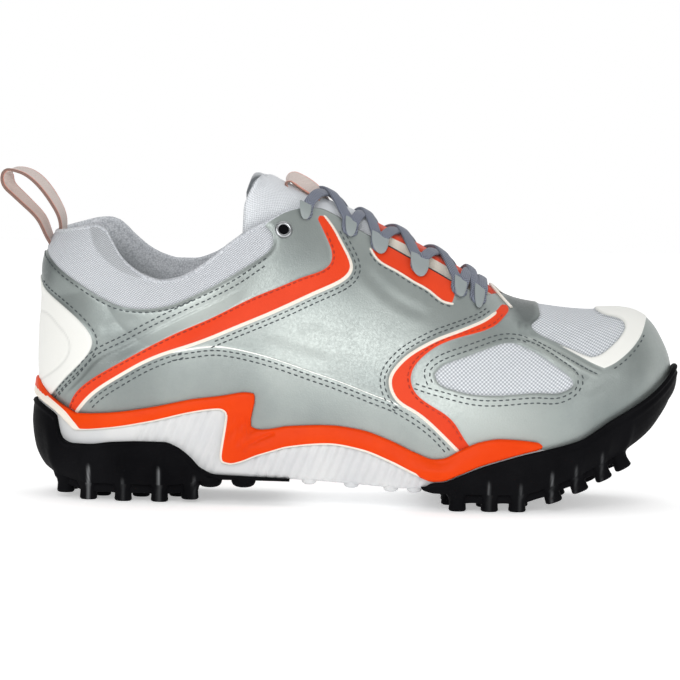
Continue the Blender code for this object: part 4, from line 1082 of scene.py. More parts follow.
# heights of panels and seams over the last, each with the width of its edge, in millimetres
reliefs = {
    "window": (-0.75, 1.0),
    "textile": (-0.25, 1.0),
    "collarSeam": (-0.85, 1.1),
    "patch": (0.7, 0.9),
    "patchSeam": (-0.25, 0.6),
    "stripe": (0.35, 0.8),
    "bead": (0.4, 0.8),
    "saddle": (0.55, 0.8),
    "band": (0.45, 0.8),
    "strip": (0.45, 0.9),
    "eyestay": (-0.3, 0.8),
    "rib": (0.4, 0.6),
    "roll": (-0.35, 1.3),
    "rolled": 0.25,
}
# painted shade beside edges and seams: amount, place, width
edgeShades = {
    "collar": (0.35, -0.1, 0.7),
    "mesh": (0.3, 0.1, 0.7),
    "patch": (0.25, -0.3, 0.6),
    "patchSeam": (0.2, 0.0, 0.5),
    "band": (0.25, -3.6, 0.5),
    "rim": 0.3,
    "most": 0.6,
}
skinForm = {
    "bandEdge": 3.6,
    "bandReach": (9.0, 8.0),
    "bandEnds": (8.0, 14.0),
    "ribs": (("windowHigh", 1.9, 4.4), ("stripLow", -1.6, -4.1)),
    # painted highlight along the raised ribs
    "ribHighlight": 0.9,
    # cream lines beside seams: half width, place
    "cream": (("rearLower", 0.75, 0.5), ("foreBead", 0.75, 0.5), ("eyestayLow", 0.6, 0.4)),
    "piping": (0.0, 0.8),  # shares of the saddle line between which it is piped
    "pipingThin": (1.1, 0.3),
    "rimEnd": toChart([(172, 280)])[0, 0],
    "rimWidth": 14.0,
}
reliefLines = ("rollLine", "patch", "patchSeam", "rearLower", "foreBead", "windowHigh", "stripLow",
               "eyestayLow", "saddle", "band")


def skinRelief(places):
    # height of the panels, seams and creases over the last, and the signed distances that colour them
    d = {name: signedDistance(places, loop) for name, loop in loops.items()}
    n = {name: lineDistance(places, lines[name]) for name in reliefLines}
    s = places[:, 0]

    def panel(name, inside):
        height, width = reliefs[name]
        return height * step01(inside, width)

    def seam(name, off):
        height, width = reliefs[name]
        return height * bell(off, width)

    def shade(name, off):
        amount, place, width = edgeShades[name]
        return amount * bell(off - place, width)

    collarIn, patchIn = d["collar"], -n["patch"]
    stripe = np.maximum(d["rear"], d["fore"])
    mesh = np.maximum(d["window"], d["vamp"])
    inCloth = step01(collarIn - 2, 2)
    height = panel("window", mesh)
    height += panel("textile", collarIn) + seam("collarSeam", collarIn + 0.2)
    height += panel("patch", patchIn) + seam("patchSeam", n["patchSeam"])
    height += panel("stripe", stripe)
    height += seam("bead", n["rearLower"]) + seam("bead", n["foreBead"])
    height += panel("strip", d["strip"])
    ribWidth = reliefs["rib"][1]
    ribs = sum(
        taper(places, lines[name]) * sum(bell(n[name] - place, ribWidth) for place in pair)
        for name, *pair in skinForm["ribs"]
    )
    height += reliefs["rib"][0] * ribs
    height += panel("eyestay", d["eyestay"]) + seam("bead", n["eyestayLow"])
    saddleStart, saddleEnd = lines["saddle"][[0, -1], 0]
    below = np.where(s > saddleStart - 1, -n["saddle"], -9.0)
    height += panel("saddle", below) * step01(s - saddleStart, 8.0)
    bandBack, bandFront = skinForm["bandEnds"]
    bandStart, bandEnd = lines["band"][0, 0] + bandBack, lines["band"][-1, 0] - bandFront
    banded = step01(bandEnd - s, 10.0) * step01(s - bandStart, 10.0)
    reach, soft = skinForm["bandReach"]
    bandIn = panel("band", -n["band"] - skinForm["bandEdge"])
    height += bandIn * step01(reach - np.abs(n["band"]), soft) * banded
    rolled = step01(n["rollLine"], 1.5) * step01(8.0 - np.abs(n["rollLine"]), 6.0) * inCloth
    height += seam("roll", n["rollLine"]) * inCloth + reliefs["rolled"] * rolled
    for path, depth, width in creases:
        gap = np.abs(lineDistance(places, path))
        height += depth * taper(places, path) * (0.45 * bell(gap - 1.9 * width, width) - bell(gap, width))
    share = (s - saddleStart) / (saddleEnd - saddleStart)
    more, start = skinForm["pipingThin"]
    piping = n["saddle"] * (1 + more * step01(share - start, 0.3))
    low, high = skinForm["piping"]
    # past its ends the piping keeps its sign, so that no false line appears
    away = np.copysign(np.maximum(np.abs(piping), 9.0), piping)
    # painted shade in the hollows beside edges and seams, and a painted shadow line under the near rim
    tone = shade("collar", collarIn) + shade("mesh", mesh) + shade("patch", patchIn)
    tone += shade("patchSeam", n["patchSeam"]) + shade("band", n["band"]) * banded
    rim = step01(n["rollLine"] - 0.4, 1.2) * inCloth * step01(skinForm["rimEnd"] - s, skinForm["rimWidth"])
    tone += edgeShades["rim"] * rim * (n["rollLine"] < skinForm["rimWidth"])
    # painted highlights and painted shade on the silver, as broad lighter and darker places
    paintedLight = sum(amount * bell(np.linalg.norm(places - spot, axis=1), size) for spot, size, amount in paintedLightSpots)
    creams = [half - np.abs(n[name] - place) for name, half, place in skinForm["cream"]]
    return height, {
        "orange": np.maximum(stripe, d["eyestay"]),
        "cream": np.max(creams, axis=0),
        "white": np.maximum(patchIn, d["strip"]),
        "textile": collarIn,
        "mesh": mesh,
        "dark": d["throat"],
        "piping": np.where((share > low) & (share < high), piping, away),
        "tone": np.clip(tone, 0, edgeShades["most"]),
        "paintedLight": paintedLight + skinForm["ribHighlight"] * ribs,
    }


def makeUpper():
    # outer skin of both sides over stations and even rows, raised by its relief
    a = skinStations(grid["stations"])
    meshes, reliefValues = [], {}
    for side in (lateral, medial):
        phi = evenRows(a, side, grid["rows"])
        f = shareOfPhi(a[:, None], phi)
        points = body(a[:, None], side, f)
        normal = normalOf(a[:, None], side, f)
        normal[[0, -1], :, 1] = 0
        normal[a > angleOf(last["throatEnd"]) - 1e-6, -1, 1] = 0
        normal = unit(normal)
        chart = chartOf(a[:, None], phi)
        height, values = skinRelief(chart.reshape(-1, 2))
        points = points + normal * height.reshape(phi.shape)[..., None]
        values["chart"] = np.concatenate([chart, np.full(phi.shape + (1,), side)], axis=-1).reshape(-1, 3)
        meshes.append((points, gridFaces(*phi.shape, flip=side == medial)))
        for name, value in values.items():
            reliefValues.setdefault(name, []).append(value)
    points, faces = joined(*meshes)
    values = {name: np.concatenate(parts) for name, parts in reliefValues.items()}
    stands = ["upper", "toe_cap", "heel_patch"]
    paired = ("saddle", "eyestay", "stripe_rear", "stripe_fore")
    stands += [f"{name}_{side}" for name in paired for side in ("lateral", "medial")]
    return addPiece("upper_skin", points, faces, skinMaterial, "silver_leather", stands, values)


makeUpper()


padding = {
    "wall": 2.2,
    "collarWall": 7.0,
    "below": np.array((0.0, 4, 9, 17, 40)),
    "share": np.array((0.15, 0.65, 1, 1, 0)),
    "rollRows": 10,
    "insideRows": 22,
    "stations": 200,
    "nearRimShadow": (17.0, 24.0, 58.0, 66.0),  # stations between which the near rim has a painted shadow line
    "rimShadowShare": 0.55,
    "rimTurn": (92.0, 42.0),  # place and width of that painted shadow line over the roll, in degrees
    "tuck": 0.8,
    # stations from which the throat's rolled edge carries a painted shadow line
    "throatShadow": (122.0, 132.0),
    "throatClose": (214.5, 217.5),  # the lining sinks below the skin where the throat is closed
    "sink": 1.4,
}


def wallAt(x, below):
    # thickness of the wall at a depth below the edge, padded at the collar
    share = np.interp(below, padding["below"], padding["share"]) * fade(x, *last["padEnds"])
    return padding["wall"] + (padding["collarWall"] - padding["wall"]) * share


def makeLining():
    # rolled edge as a half ellipse between outer and inner skin, then the inner skin down to the footbed
    a = skinStations(padding["stations"])[:, None]
    x = along(a)
    meshes, inside, rimShadows = [], [], []
    turn = np.linspace(0, math.pi, padding["rollRows"])
    for side in (lateral, medial):
        top = topPhi(a, side)
        f = shareOfPhi(a, top)
        normal = normalOf(a, side, f)
        normal[[0, -1], :, 1] = 0
        normal[x[:, 0] > last["throatEnd"] - 0.02, :, 1] = 0
        normal = unit(normal)
        closed = 1 - fade(x, *padding["throatClose"])
        sink = padding["sink"] * closed
        outer = body(a, side, f) - normal * sink[..., None]
        upward = unit(body(a, side, f) - body(a, side, shareOfPhi(a, np.maximum(top - 0.03, 0))))
        stand = rollHeight(a)
        half = (wallAt(x, stand) / 2)[..., None]
        roll = outer - normal * half + normal * (half * np.cos(turn)[:, None])
        roll = roll + upward * (stand[..., None] * np.sin(turn)[:, None])
        tuck = outer - (normal + upward) * padding["tuck"]
        phi = top * np.linspace(1, 0, padding["insideRows"] + 1)[1:]
        fDown = shareOfPhi(a, phi)
        normalDown = normalOf(a, side, fDown)
        normalDown[[0, -1], :, 1] = 0
        skin = body(a, side, fDown)
        thick = wallAt(x, edgeOf(a, side) - skin[..., 2])
        inner = skin - unit(normalDown) * (thick + sink)[..., None]
        points = np.concatenate([tuck, roll, inner], axis=1)
        meshes.append((points, gridFaces(*points.shape[:2], flip=side == medial)))
        depth = np.concatenate([np.zeros(1 + padding["rollRows"]), np.linspace(0, 1, padding["insideRows"])])
        inside.append(np.tile(np.clip(depth * 3, 0, 1), len(a)))
        # painted shadow line along the near rim's roll and along the open throat's edge
        start, full, fall, end = padding["nearRimShadow"]
        line = padding["rimShadowShare"] * (1 - fade(x, start, full)) * fade(x, fall, end) * (side == lateral)
        middle, width = padding["rimTurn"]
        crest = np.concatenate([[0], bell(np.degrees(turn) - middle, width), np.zeros(padding["insideRows"])])
        onRoll = np.concatenate([np.ones(1 + padding["rollRows"]), np.zeros(padding["insideRows"])])
        throat = (1 - fade(x, *padding["throatShadow"])) * (1 - closed) * onRoll
        rimShadows.append(np.maximum(line * np.clip(1.6 * crest, 0, 1), throat).ravel())
    points, faces = joined(*meshes)
    values = {"inside": np.concatenate(inside), "rim": np.concatenate(rimShadows)}
    return addPiece("collar_lining", points, faces, liningMaterial, "lining", (), values)


insole = {"thick": 4.0, "inset": 3.4, "across": 25, "stations": 120}


def makeInsole():
    # footbed cloth between the two inner outlines, dropping at its rim
    a = np.linspace(0, math.pi, insole["stations"])[:, None]
    low = [wall(a, side, bedOf(a), -insole["inset"]) for side in (lateral, medial)]
    share = easedSteps(insole["across"])
    points = low[0] * (1 - share[:, None]) + low[1] * share[:, None]
    points[..., 2] += insole["thick"] * np.sqrt(np.clip(1 - np.abs(2 * share - 1) ** 12, 0, 1))
    faces = gridFaces(*points.shape[:2])
    return addPiece("insole_cloth", points, faces, insoleMaterial, "lining", ["insole"])


def soleStations(first, end, step=0.72):
    # stations along the sole at equal steps of the outline
    low, high = np.interp(angleOf(np.array((first, end))), chartA, chartS)
    return np.interp(np.linspace(low, high, int((high - low) / step) + 2), chartS, chartA)


midsole = {
    "rows": 22,
    "ribPitch": 4.4,
    "ribDepth": 0.95,
    "ribSlant": 0.42,
    "ribMiddle": 20.0,
    "ribFade": 4.0,
    "ribs": ((44.0, 86.0), (97.0, 183.0)),
    "lugs": (126.4, 145.8, 163.9, 174.8),
    "lugSize": 0.62,
    "lugDrop": 2.2,
    "lugOut": -3.2,
    "roundLow": (0.9, 0.08),  # how far the wall draws back at its edges, and over which share of it
    "roundTop": (0.5, 0.05),
}


def midsoleRelief(x, z):
    # slanted ribs as rounded ridges between grooves, faded at their ends
    u = (x - midsole["ribSlant"] * (z - midsole["ribMiddle"])) / midsole["ribPitch"]
    groove = np.abs(np.sin(math.pi * u)) ** 0.7
    soft = midsole["ribFade"]
    runs = midsole["ribs"]
    window = sum(fade(x, end - soft, end) * (1 - fade(x, start, start + soft)) for start, end in runs)
    return -midsole["ribDepth"] * (1 - groove) * window


def drawnBack(share, deep, reach):
    # how far a wall is rounded off near its edge
    return deep * np.clip(1 - share / reach, 0, 1) ** 2


def makeMidsole():
    # ring of each station: outer wall from core to rim, inner wall back down, across, and the other side
    a = soleStations(last["heelEnd"], last["toeEnd"])
    x, bed = along(a), bedOf(a)
    core, rim = coreOf(x), rimOf(x)
    heights = (rim, (bed + rim) / 2, bed - layers["gap"])
    halves = []
    for side in (lateral, medial):
        outside = []
        for share in np.linspace(0, 1, midsole["rows"]):
            z = core + (rim - core) * share
            out = cupOut(a, z) + midsoleRelief(x, z)
            out = out - drawnBack(share, *midsole["roundLow"]) - drawnBack(1 - share, *midsole["roundTop"])
            outside.append(wall(a, side, z, out))
        inside = [wall(a, side, z, np.full_like(a, layers["cupIn"])) for z in heights]
        halves.append(outside + inside)
    left, right = halves
    floor, under = ((left[end] + right[end]) / 2 for end in (-1, 0))
    rings = np.stack(left + [floor] + right[::-1] + [under], axis=1)
    lugs = []
    shape, lugFaces = revolved(studs["dome"], studs["sides"])
    for side in (lateral, medial):
        for place in midsole["lugs"]:
            foot = wall(angleOf(place), side, coreOf(place), midsole["lugOut"])
            lugs.append((shape * midsole["lugSize"] + foot - (0, 0, midsole["lugDrop"]), lugFaces))
    points, faces = joined((rings, gridFaces(*rings.shape[:2], closed=True)), *lugs)
    return addPiece("midsole_foam", points, faces, foamMaterial, "white_foam", ["midsole"], recalc=True)


frameForm = {
    "end": 232.4,
    "endRound": 2.2,
    "creamEnd": (176.0, 181.0),
    "crown": 0.5,
    "rows": 24,
    "round": 1.1,
    "foldDepth": 0.75,
    "foldWidth": 1.6,
    # folds of the bend in picture points
    "folds": (
        ((229, 436), (238, 427), (246, 421)),
        ((235, 443), (247, 434), (257, 428)),
        ((244, 449), (258, 440), (272, 434)),
        ((226, 420), (236, 424), (250, 426)),
    ),
    # slant of the bend's edges: shift at a height, its growth over a rise, least and most shift
    "leftLean": (-2.0, 20.0, 6.4, 23.0, -2.2, 4.4),
    "rightLean": (-2.2, 36.0, 5.5, 15.0, -2.2, 3.3),
    "bend": (88.0, 97.0),  # stations between which the left edge's slant becomes the right edge's
    "leanIn": (70.0, 84.0),
    "leanOut": (102.5, 114.0),
}


def frameLean(x, z):
    # lengthwise shift that slants both edges of the frame's bend backwards as they go down
    def slant(shift, height, growth, span, least, most):
        return np.clip(shift + growth * (z - height) / span, least, most)

    left, right = (slant(*frameForm[edge]) for edge in ("leftLean", "rightLean"))
    start, end = frameForm["bend"]
    share = np.clip((x - start) / (end - start), 0, 1)
    window = (1 - fade(x, *frameForm["leanIn"])) * fade(x, *frameForm["leanOut"])
    return (left * (1 - share) + right * share) * window


def makeFrame():
    # ring of each station: crowned face with rounded edges, top lip onto the upper, back along the cup
    a = soleStations(last["heelEnd"], frameForm["end"], 0.6)
    x, bed = along(a), bedOf(a)
    top = smooth(x, frameLines["x"], frameLines["top"])
    low = smooth(x, frameLines["x"], frameLines["low"])
    past = np.clip((x - frameForm["end"]) / frameForm["endRound"] + 1, 0, 1)
    blunt = np.sqrt(np.clip(1 - past**2, 0.003, 1))
    middle = (top + low) / 2
    top, low = middle + (top - middle) * blunt, middle - (middle - low) * blunt
    rim = rimOf(x)
    lip = np.minimum(rim + layers["gap"], top - 0.3)
    lowEdge = np.stack([x + frameLean(x, low), low], axis=-1)
    bare = 3 * (1 - fade(x, *frameForm["creamEnd"]))
    halves, above = [], []
    folds = [curve(np.array(fold, float), 2.0) for fold in frameForm["folds"]]
    for side in (lateral, medial):
        ring = []
        for share in easedSteps(frameForm["rows"]):
            z = low + (top - low) * share
            near = np.minimum(z - low, top - z)
            edge = np.clip(1 - near / np.minimum(frameForm["round"] * 1.6, (top - low) / 2 + 0.01), 0, 1)
            crown = frameForm["crown"] * (1 - (2 * share - 1) ** 2)
            here = angleOf(x + frameLean(x, z))
            out = rubberOut(here, z) + crown - frameForm["round"] * (1 - np.sqrt(np.clip(1 - edge**2, 0, 1)))
            seen = pixelOf(wall(here, lateral, z, out))
            folded = sum(bell(lineDistance(seen, fold), frameForm["foldWidth"]) for fold in folds)
            out = out - frameForm["foldDepth"] * folded
            ring.append(wall(here, side, z, out))
        ring.append(wall(here, side, top, np.full_like(a, layers["cupIn"])))
        for z in (lip, *(np.clip(level, low + 0.1, lip - 0.1) for level in ((bed + rim) / 2, bed)), low):
            here = angleOf(x + frameLean(x, z))
            ring.append(wall(here, side, z, cupOut(here, np.minimum(z, rim)) + layers["gap"]))
        halves.append(np.stack(ring, axis=1))
        offLow = lineDistance(halves[-1][..., [0, 2]].reshape(-1, 2), lowEdge)
        above.append(offLow.reshape(len(x), -1) + bare[:, None])
    rings = np.concatenate([halves[0][::-1], halves[1][1:]])
    values = {"above": np.concatenate([above[0][::-1], above[1][1:]])}
    mesh = (rings, tubeFaces(rings))
    return addPiece("frame_band", *mesh, frameMaterial, "orange_plastic", ["frame"], values, recalc=True)


studs = {
    "height": 8.0,
    # height and radius from the tip up
    "profile": ((0.0, 3.2), (0.0, 3.2), (0.35, 3.8), (0.9, 4.05), (2.2, 3.9), (4.2, 3.8), (6.0, 4.2),
                (7.4, 5.2), (9.5, 5.9)),
    "dome": ((0.0, 0.5), (0.1, 2.4), (0.45, 3.7), (1.2, 4.9), (2.4, 5.5), (3.6, 5.7), (5.0, 5.7)),
    "heelEdge": (12, 24, 41, 58, 72),
    "forefootEdge": (195, 210, 223, 238, 250, 261, 270),
    "lugs": (81.0, 96.4),
    "barOut": -2.2,
    "barWidth": 2.8,
    "barDrop": 5.0,
    "barArch": 0.8,
    "barSunk": 0.6,
    "lugHeight": 3.6,
    "footOut": -3.0,
    "springStart": 226.0,
    "sides": 20,
    "inner": ((16, 0), (31, -9), (31, 9), (49, -10), (49, 9), (66, -10), (66, 8), (192, -18), (192, 0),
              (192, 18), (208, -24), (208, -7), (208, 11), (208, 28), (224, -20), (224, -2), (224, 16),
              (239, -18), (239, 1), (239, 21), (253, -6), (253, 14), (265, 6), (265, 22)),
}


def revolved(profile, sides):
    # points and faces of a profile (height, radius) turned about the upright, closed by its first point
    profile = np.array(profile, float)
    profile = np.concatenate([[[profile[0, 0], 0.0]], profile])
    turn = np.arange(sides) * 2 * math.pi / sides
    ring = np.stack([np.cos(turn), np.sin(turn)], axis=-1)
    height = np.broadcast_to(profile[:, None, :1], (len(profile), sides, 1))
    points = np.concatenate([profile[:, None, 1:] * ring, height], axis=-1)
    return points, gridFaces(len(profile), sides, closed=True)


def placedStud(x, y, profile="profile", height="height"):
    # one stud under the plate, turned with the rising toe
    points, faces = revolved(studs[profile], studs["sides"])
    points = points - np.array((0, 0, studs[height]))
    slope = float(plateOf(x + 2.0) - plateOf(x - 2.0)) / 4.0 if x > studs["springStart"] else 0.0
    turn = math.atan(slope)
    c, s = math.cos(turn), math.sin(turn)
    turned = points @ np.array(((c, 0, s), (0, 1, 0), (-s, 0, c)))
    return turned + np.array((x, y, float(plateOf(x)))), faces


def studBar(x0, x1, side):
    # web between two neighbouring edge studs: a band along the outline whose lower edge is arched
    share = np.linspace(0, 1, 15)
    x = x0 + (x1 - x0) * share
    a = angleOf(x)
    plate = plateOf(x)
    low = plate - studs["barDrop"] + studs["barArch"] * np.sin(math.pi * share)
    sunk = studs["barSunk"]  # into the plate
    middle = wall(a, side, (plate + low) / 2 + sunk, np.full_like(x, studs["barOut"]))
    upright = np.broadcast_to(np.array((0.0, 0, 1)), middle.shape)
    across = unit(np.cross(np.gradient(middle, axis=0), upright))
    return swept(middle, upright, across, (plate - low) / 2 + sunk, studs["barWidth"] / 2)[0]


def edgeFoot(x, side):
    # place of a stud beside the outline
    return wall(angleOf(float(x)), side, plateOf(float(x)), studs["footOut"])[:2]


def soleStuds(edgePlaces, low, high):
    # edge studs, waist lugs and bars of both sides, then the inner studs of this sole
    made = []
    for side in (lateral, medial):
        made += [placedStud(*edgeFoot(x, side)) for x in edgePlaces]
        made += [placedStud(*edgeFoot(x, side), "dome", "lugHeight") for x in studs["lugs"] if low < x < high]
        made += [studBar(x0, x1, side) for x0, x1 in zip(edgePlaces[:-1], edgePlaces[1:])]
    made += [placedStud(x, y) for x, y in studs["inner"] if low < x < high]
    return made


rubber = {
    "rows": 26,
    "round": 0.7,
    "ribWidth": 2.1,
    "ribRise": 1.1,
    # painted highlight streaks on the lateral studs: place, amount, reach up the wall
    "studHighlight": ((25.2, 0.75, 6.0), (57.6, 0.6, 6.0), (41.0, 0.2, 0.5), (74.0, 0.2, 0.5), (209.3, 0.3, 4.0),
             (224.0, 0.2, 3.0), (238.3, 0.4, 4.0), (249.4, 0.2, 2.5), (261.4, 0.2, 2.5)),
    "studHighlightWidth": 0.5,
    "studHighlightFade": 3.5,
    "heelFront": 118.0,
    "tip": (178.6, 6.5),  # start and length of the pointed end in the waist
    # ridges along the top line: height, distance below it, width
    "lip": (0.35, 0.9, 0.7),
    "groove": (-0.3, 2.4, 0.6),
    "ledge": (0.55, 4.4, 0.8),
    "ledgeFrom": (236.0, 250.0),
}


def rubberRelief(x, z, plate, top, places):
    # rounded ribs up the wall over each edge stud, thin between, and a fine lip under the top line
    rib = sum(bell(x - place, rubber["ribWidth"]) for place in places)
    height = np.clip((z - plate) / np.maximum(top - plate, 1), 0, 1)
    ridges = (rubber[name] for name in ("lip", "groove", "ledge"))
    lip, groove, ledge = (amount * bell((top - z) - deep, width) for amount, deep, width in ridges)
    ledge = ledge * (1 - fade(x, *rubber["ledgeFrom"]))
    return rubber["ribRise"] * rib * fade(height, 0.55, 0.85) + lip + groove + ledge


def makeRubber(name, node, a, top, places):
    # ring of each station: inner floor and wall, over the top, outer wall down, rounded under, both sides
    x, bed = along(a), bedOf(a)
    plate = plateOf(x)
    floor = coreOf(x) - layers["gap"]
    top = np.maximum(top, floor + 0.4)
    rim = rimOf(x)
    start, length = rubber["tip"]
    tip = np.clip(1 - (x - start) / length, 0, 1) if node == "outsole_forefoot" else 0 * x
    plate = plate + (top - 0.4 - plate) * (1 - np.sqrt(1 - tip**2))
    halves = []
    for side in (lateral, medial):
        steps = [np.clip(z, floor + 0.1, top - 0.1) for z in (bed, (bed + rim) / 2)]
        ring = [wall(a, side, z, cupOut(a, z) + layers["gap"]) for z in (floor, *steps, top)]
        for share in 1 - easedSteps(rubber["rows"]):
            z = plate + (top - plate) * share
            near = np.clip(1 - (top - z) / (2 * rubber["round"]), 0, 1)
            out = rubberOut(a, z) + rubberRelief(x, z, plate, top, places)
            ring.append(wall(a, side, z, out - rubber["round"] * (1 - np.sqrt(np.clip(1 - near**2, 0, 1)))))
        halves.append(np.stack(ring, axis=1))
    rings = np.concatenate([halves[0], halves[1][:, ::-1]], axis=1)
    points, faces = joined((rings, tubeFaces(rings)), *soleStuds(places, along(a[0]), along(a[-1])))
    x, y, z = points.T
    height = z - plateOf(x)
    # painted highlight streaks up the lateral studs' ridges
    highlightStreaks = sum(
        amount * bell(x - place, rubber["studHighlightWidth"]) * fade(height, reach, reach + rubber["studHighlightFade"])
        for place, amount, reach in rubber["studHighlight"]
    )
    outer = y < planY(angleOf(x), lateral) + 4.0
    studHighlight = highlightStreaks * outer * (0.55 + 0.45 * step01(height, 1.0))
    return addPiece(name, points, faces, rubberMaterial, "black_rubber", [node], {"studHighlight": studHighlight}, recalc=True)


def makeOutsoles():
    # heel and forefoot rubber, each up to its own top line
    soles = (
        ("heel", last["heelEnd"], rubber["heelFront"], heelRubber),
        ("forefoot", rubber["tip"][0], last["toeEnd"], foreRubber),
    )
    for name, start, end, line in soles:
        a = soleStations(start, end)
        top = smooth(along(a), line["x"], line["top"])
        makeRubber("rubber_" + name, "outsole_" + name, a, top, studs[name + "Edge"])


tongue = {
    "thick": 4.5,
    "under": (0.2, 3.8),
    "underAt": (7.0, 13.0),
    "shift": 1.5,
    "rows": (213.5, 191, 172, 157, 144),
    "reach": (12, 21, 24, 24, 22),
    # free rows: x and z of the middle, x of both edges, half widths, z of the edges
    "top": (
        (126, 141.4, 108, 108, 20.5, 15, 114),
        (115.5, 145.8, 94.5, 99.5, 21.5, 16, 121),
        (110, 148.4, 94.5, 97, 22.5, 19, 133),
        (107, 150.4, 97, 94.8, 22.5, 22, 141.5),
        (105.5, 151.2, 102.2, 96.8, 22, 22, 148),
    ),
    "across": 61,
    "along": 110,
}


def tongueGrid():
    # rows under the throat follow the last, rows above curl round as quarter ellipses, splined along
    across = np.linspace(-1, 1, tongue["across"])
    rows = []
    for x, reach in zip(tongue["rows"], tongue["reach"]):
        a = angleOf(float(x))
        row = []
        for side, share in ((lateral, -across[across < 0]), (medial, across[across >= 0])):
            width = abs(planY(a, side))
            low = np.arccos((reach / width) ** (squareOf(a) / 2))
            phi = halfPi - share * (halfPi - low)
            middle, edge = tongue["under"]
            depth = edge + (middle - edge) * fade(share * reach, *tongue["underAt"])
            row.append(raised(a, side, shareOfPhi(a, phi), -depth))
        rows.append(np.concatenate(row))
    turn = np.abs(across) * halfPi
    for x, z, lateralX, medialX, lateralY, medialY, wingZ in tongue["top"]:
        y = np.where(across < 0, -lateralY, medialY) * np.sin(turn) + tongue["shift"] * np.cos(turn)
        fall = 1 - np.cos(turn)
        wingX = np.where(across < 0, lateralX, medialX)
        rows.append(np.stack([x + (wingX - x) * fall, y, z + (wingZ - z) * fall], axis=-1))
    rows = np.array(rows)
    run = lengthAlong(rows[:, tongue["across"] // 2])
    at = np.linspace(0, run[-1], tongue["along"])
    sheet = np.stack([spline(at, run, line) for line in rows.reshape(len(rows), -1).T], axis=-1)
    return sheet.reshape(len(at), -1, 3), at


def makeTongue():
    # two skins that meet in a rounded rim, puffed between
    sheet, run = tongueGrid()
    normal = unit(np.cross(np.gradient(sheet, axis=0), np.gradient(sheet, axis=1)))
    normal = normal * np.sign(normal[:, tongue["across"] // 2, 2]).mean()
    v, u = (np.linspace(-1, 1, tongue[way]) for way in ("along", "across"))
    swell = np.sqrt(np.clip(1 - np.abs(u) ** 7, 0, 1)) * np.sqrt(np.clip(1 - np.abs(v) ** 24, 0, 1))[:, None]
    half = tongue["thick"] / 2
    outer = sheet + normal * (half * (swell - 1))[..., None]
    inner = sheet - normal * (half * (swell + 1))[..., None]
    across = lengthAlong(sheet, axis=1)
    across = across - across[:, [tongue["across"] // 2]]
    weave = np.stack([np.broadcast_to(run[:, None], across.shape), across, 0 * across], axis=-1)
    faces = gridFaces(*across.shape)
    mesh = joined((outer, faces[:, ::-1]), (inner, faces))
    values = {
        "weave": np.concatenate([weave.reshape(-1, 3)] * 2),
        "inside": np.repeat((0.0, 1.0), across.size),
    }
    piece = addPiece("tongue_pad", *mesh, tongueMaterial, "grey_mesh", ["tongue"], values, recalc=True)
    return piece


def swept(path, side, normal, halfWidth, halfThick, count=16, power=0.6):
    # flat band: a rounded section of the given half width and half thickness carried along a path
    turn = np.arange(count) * 2 * math.pi / count
    c, s = np.cos(turn), np.sin(turn)
    wide = (np.sign(c) * np.abs(c) ** power)[None, :, None] * np.asarray(halfWidth).reshape(-1, 1, 1)
    deep = (np.sign(s) * np.abs(s) ** power)[None, :, None] * np.asarray(halfThick).reshape(-1, 1, 1)
    rings = path[:, None] + side[:, None] * wide + normal[:, None] * deep
    across = np.broadcast_to(wide, rings.shape[:2] + (1,))
    run = np.broadcast_to(lengthAlong(path)[:, None, None], across.shape)
    weave = np.concatenate([run, across, 0 * across], axis=-1)
    ends = len(path) * count
    j = np.arange(count)
    k = (j + 1) % count
    tip = np.full(count, ends)
    first = np.stack([k, j, tip, tip], axis=-1)
    final = np.stack([j + ends - count, k + ends - count, tip + 1, tip + 1], axis=-1)
    caps = np.concatenate([first, final])
    points = np.concatenate([rings.reshape(-1, 3), path[[0, -1]]])
    weave = np.concatenate([weave.reshape(-1, 3), np.zeros((2, 3))])
    return (points, np.concatenate([gridFaces(len(path), count, closed=True), caps])), weave


# tapes: path in the middle plane, width, thickness, shift to the medial side, turn of its width
pullLoop = {
    "path": ((7.6, 112.5), (5.4, 116.5), (3.4, 120.5), (0.4, 127), (-5.5, 133.5), (-12, 139.5), (-16, 145),
             (-15.2, 149), (-11, 149.8), (-4, 147.2), (2, 141.5), (6.8, 134.5), (9.6, 128.5), (10.2, 123),
             (9.6, 117.5)),
    "width": 13.0,
    "thick": 1.5,
    "shift": 0.0,
    "turned": (0.42, 0, 0.05),
}
tongueLoop = {
    "path": ((134, 135.2), (130, 139.6), (124.5, 144.2), (119, 147.6), (115.4, 148.6), (113.6, 147),
             (114.6, 144.4)),
    "width": 12.0,
    "thick": 1.3,
    "shift": 0.5,
    "turned": (0.15, 0, 0.55),
}


def makeLoop(name, node, tape):
    # tape along its path, turned most in the middle of its length
    flat = curve(tape["path"], 0.8)
    points = np.stack([flat[:, 0], np.full(len(flat), tape["shift"]), flat[:, 1]], axis=-1)
    tangent = unit(np.gradient(points, axis=0))
    amount = np.sin(np.linspace(0.25, math.pi - 0.25, len(points)))[:, None]
    side = np.array((0.0, 1, 0)) + amount * np.array(tape["turned"])
    side = unit(side - tangent * (side * tangent).sum(axis=1, keepdims=True))
    normal = np.cross(tangent, side)
    mesh, weave = swept(points, side, normal, tape["width"] / 2, tape["thick"] / 2, 28, 0.35)
    return addPiece(name, *mesh, webbingMaterial, "pale_webbing", [node], {"weave": weave}, recalc=True)


lacing = {
    "rows": (202.8, 194.0, 175.2, 156.6, 143.0, 122.0),
    "apart": 1.5,
    "off": (1.2, 2.0),
    "ridgeOff": 1.5,
    "tuck": 4.2,
    "tuckOff": 0.4,
    "lift": 1.0,
    "halfWidth": 2.6,
    "halfThick": 0.95,
    "tabHalf": (2.7, 3.3, 4.7, 4.4, 2.9, 2.9),
    "tabLength": (7.5, 6.2, 7.2, 6.6, 6.4, 6.0),
    "tabThick": 0.9,
    "tabOff": 2.3,
    "tabFold": 0.16,  # share of a tab that turns down over the edge
    "tabSink": 2.4,
}


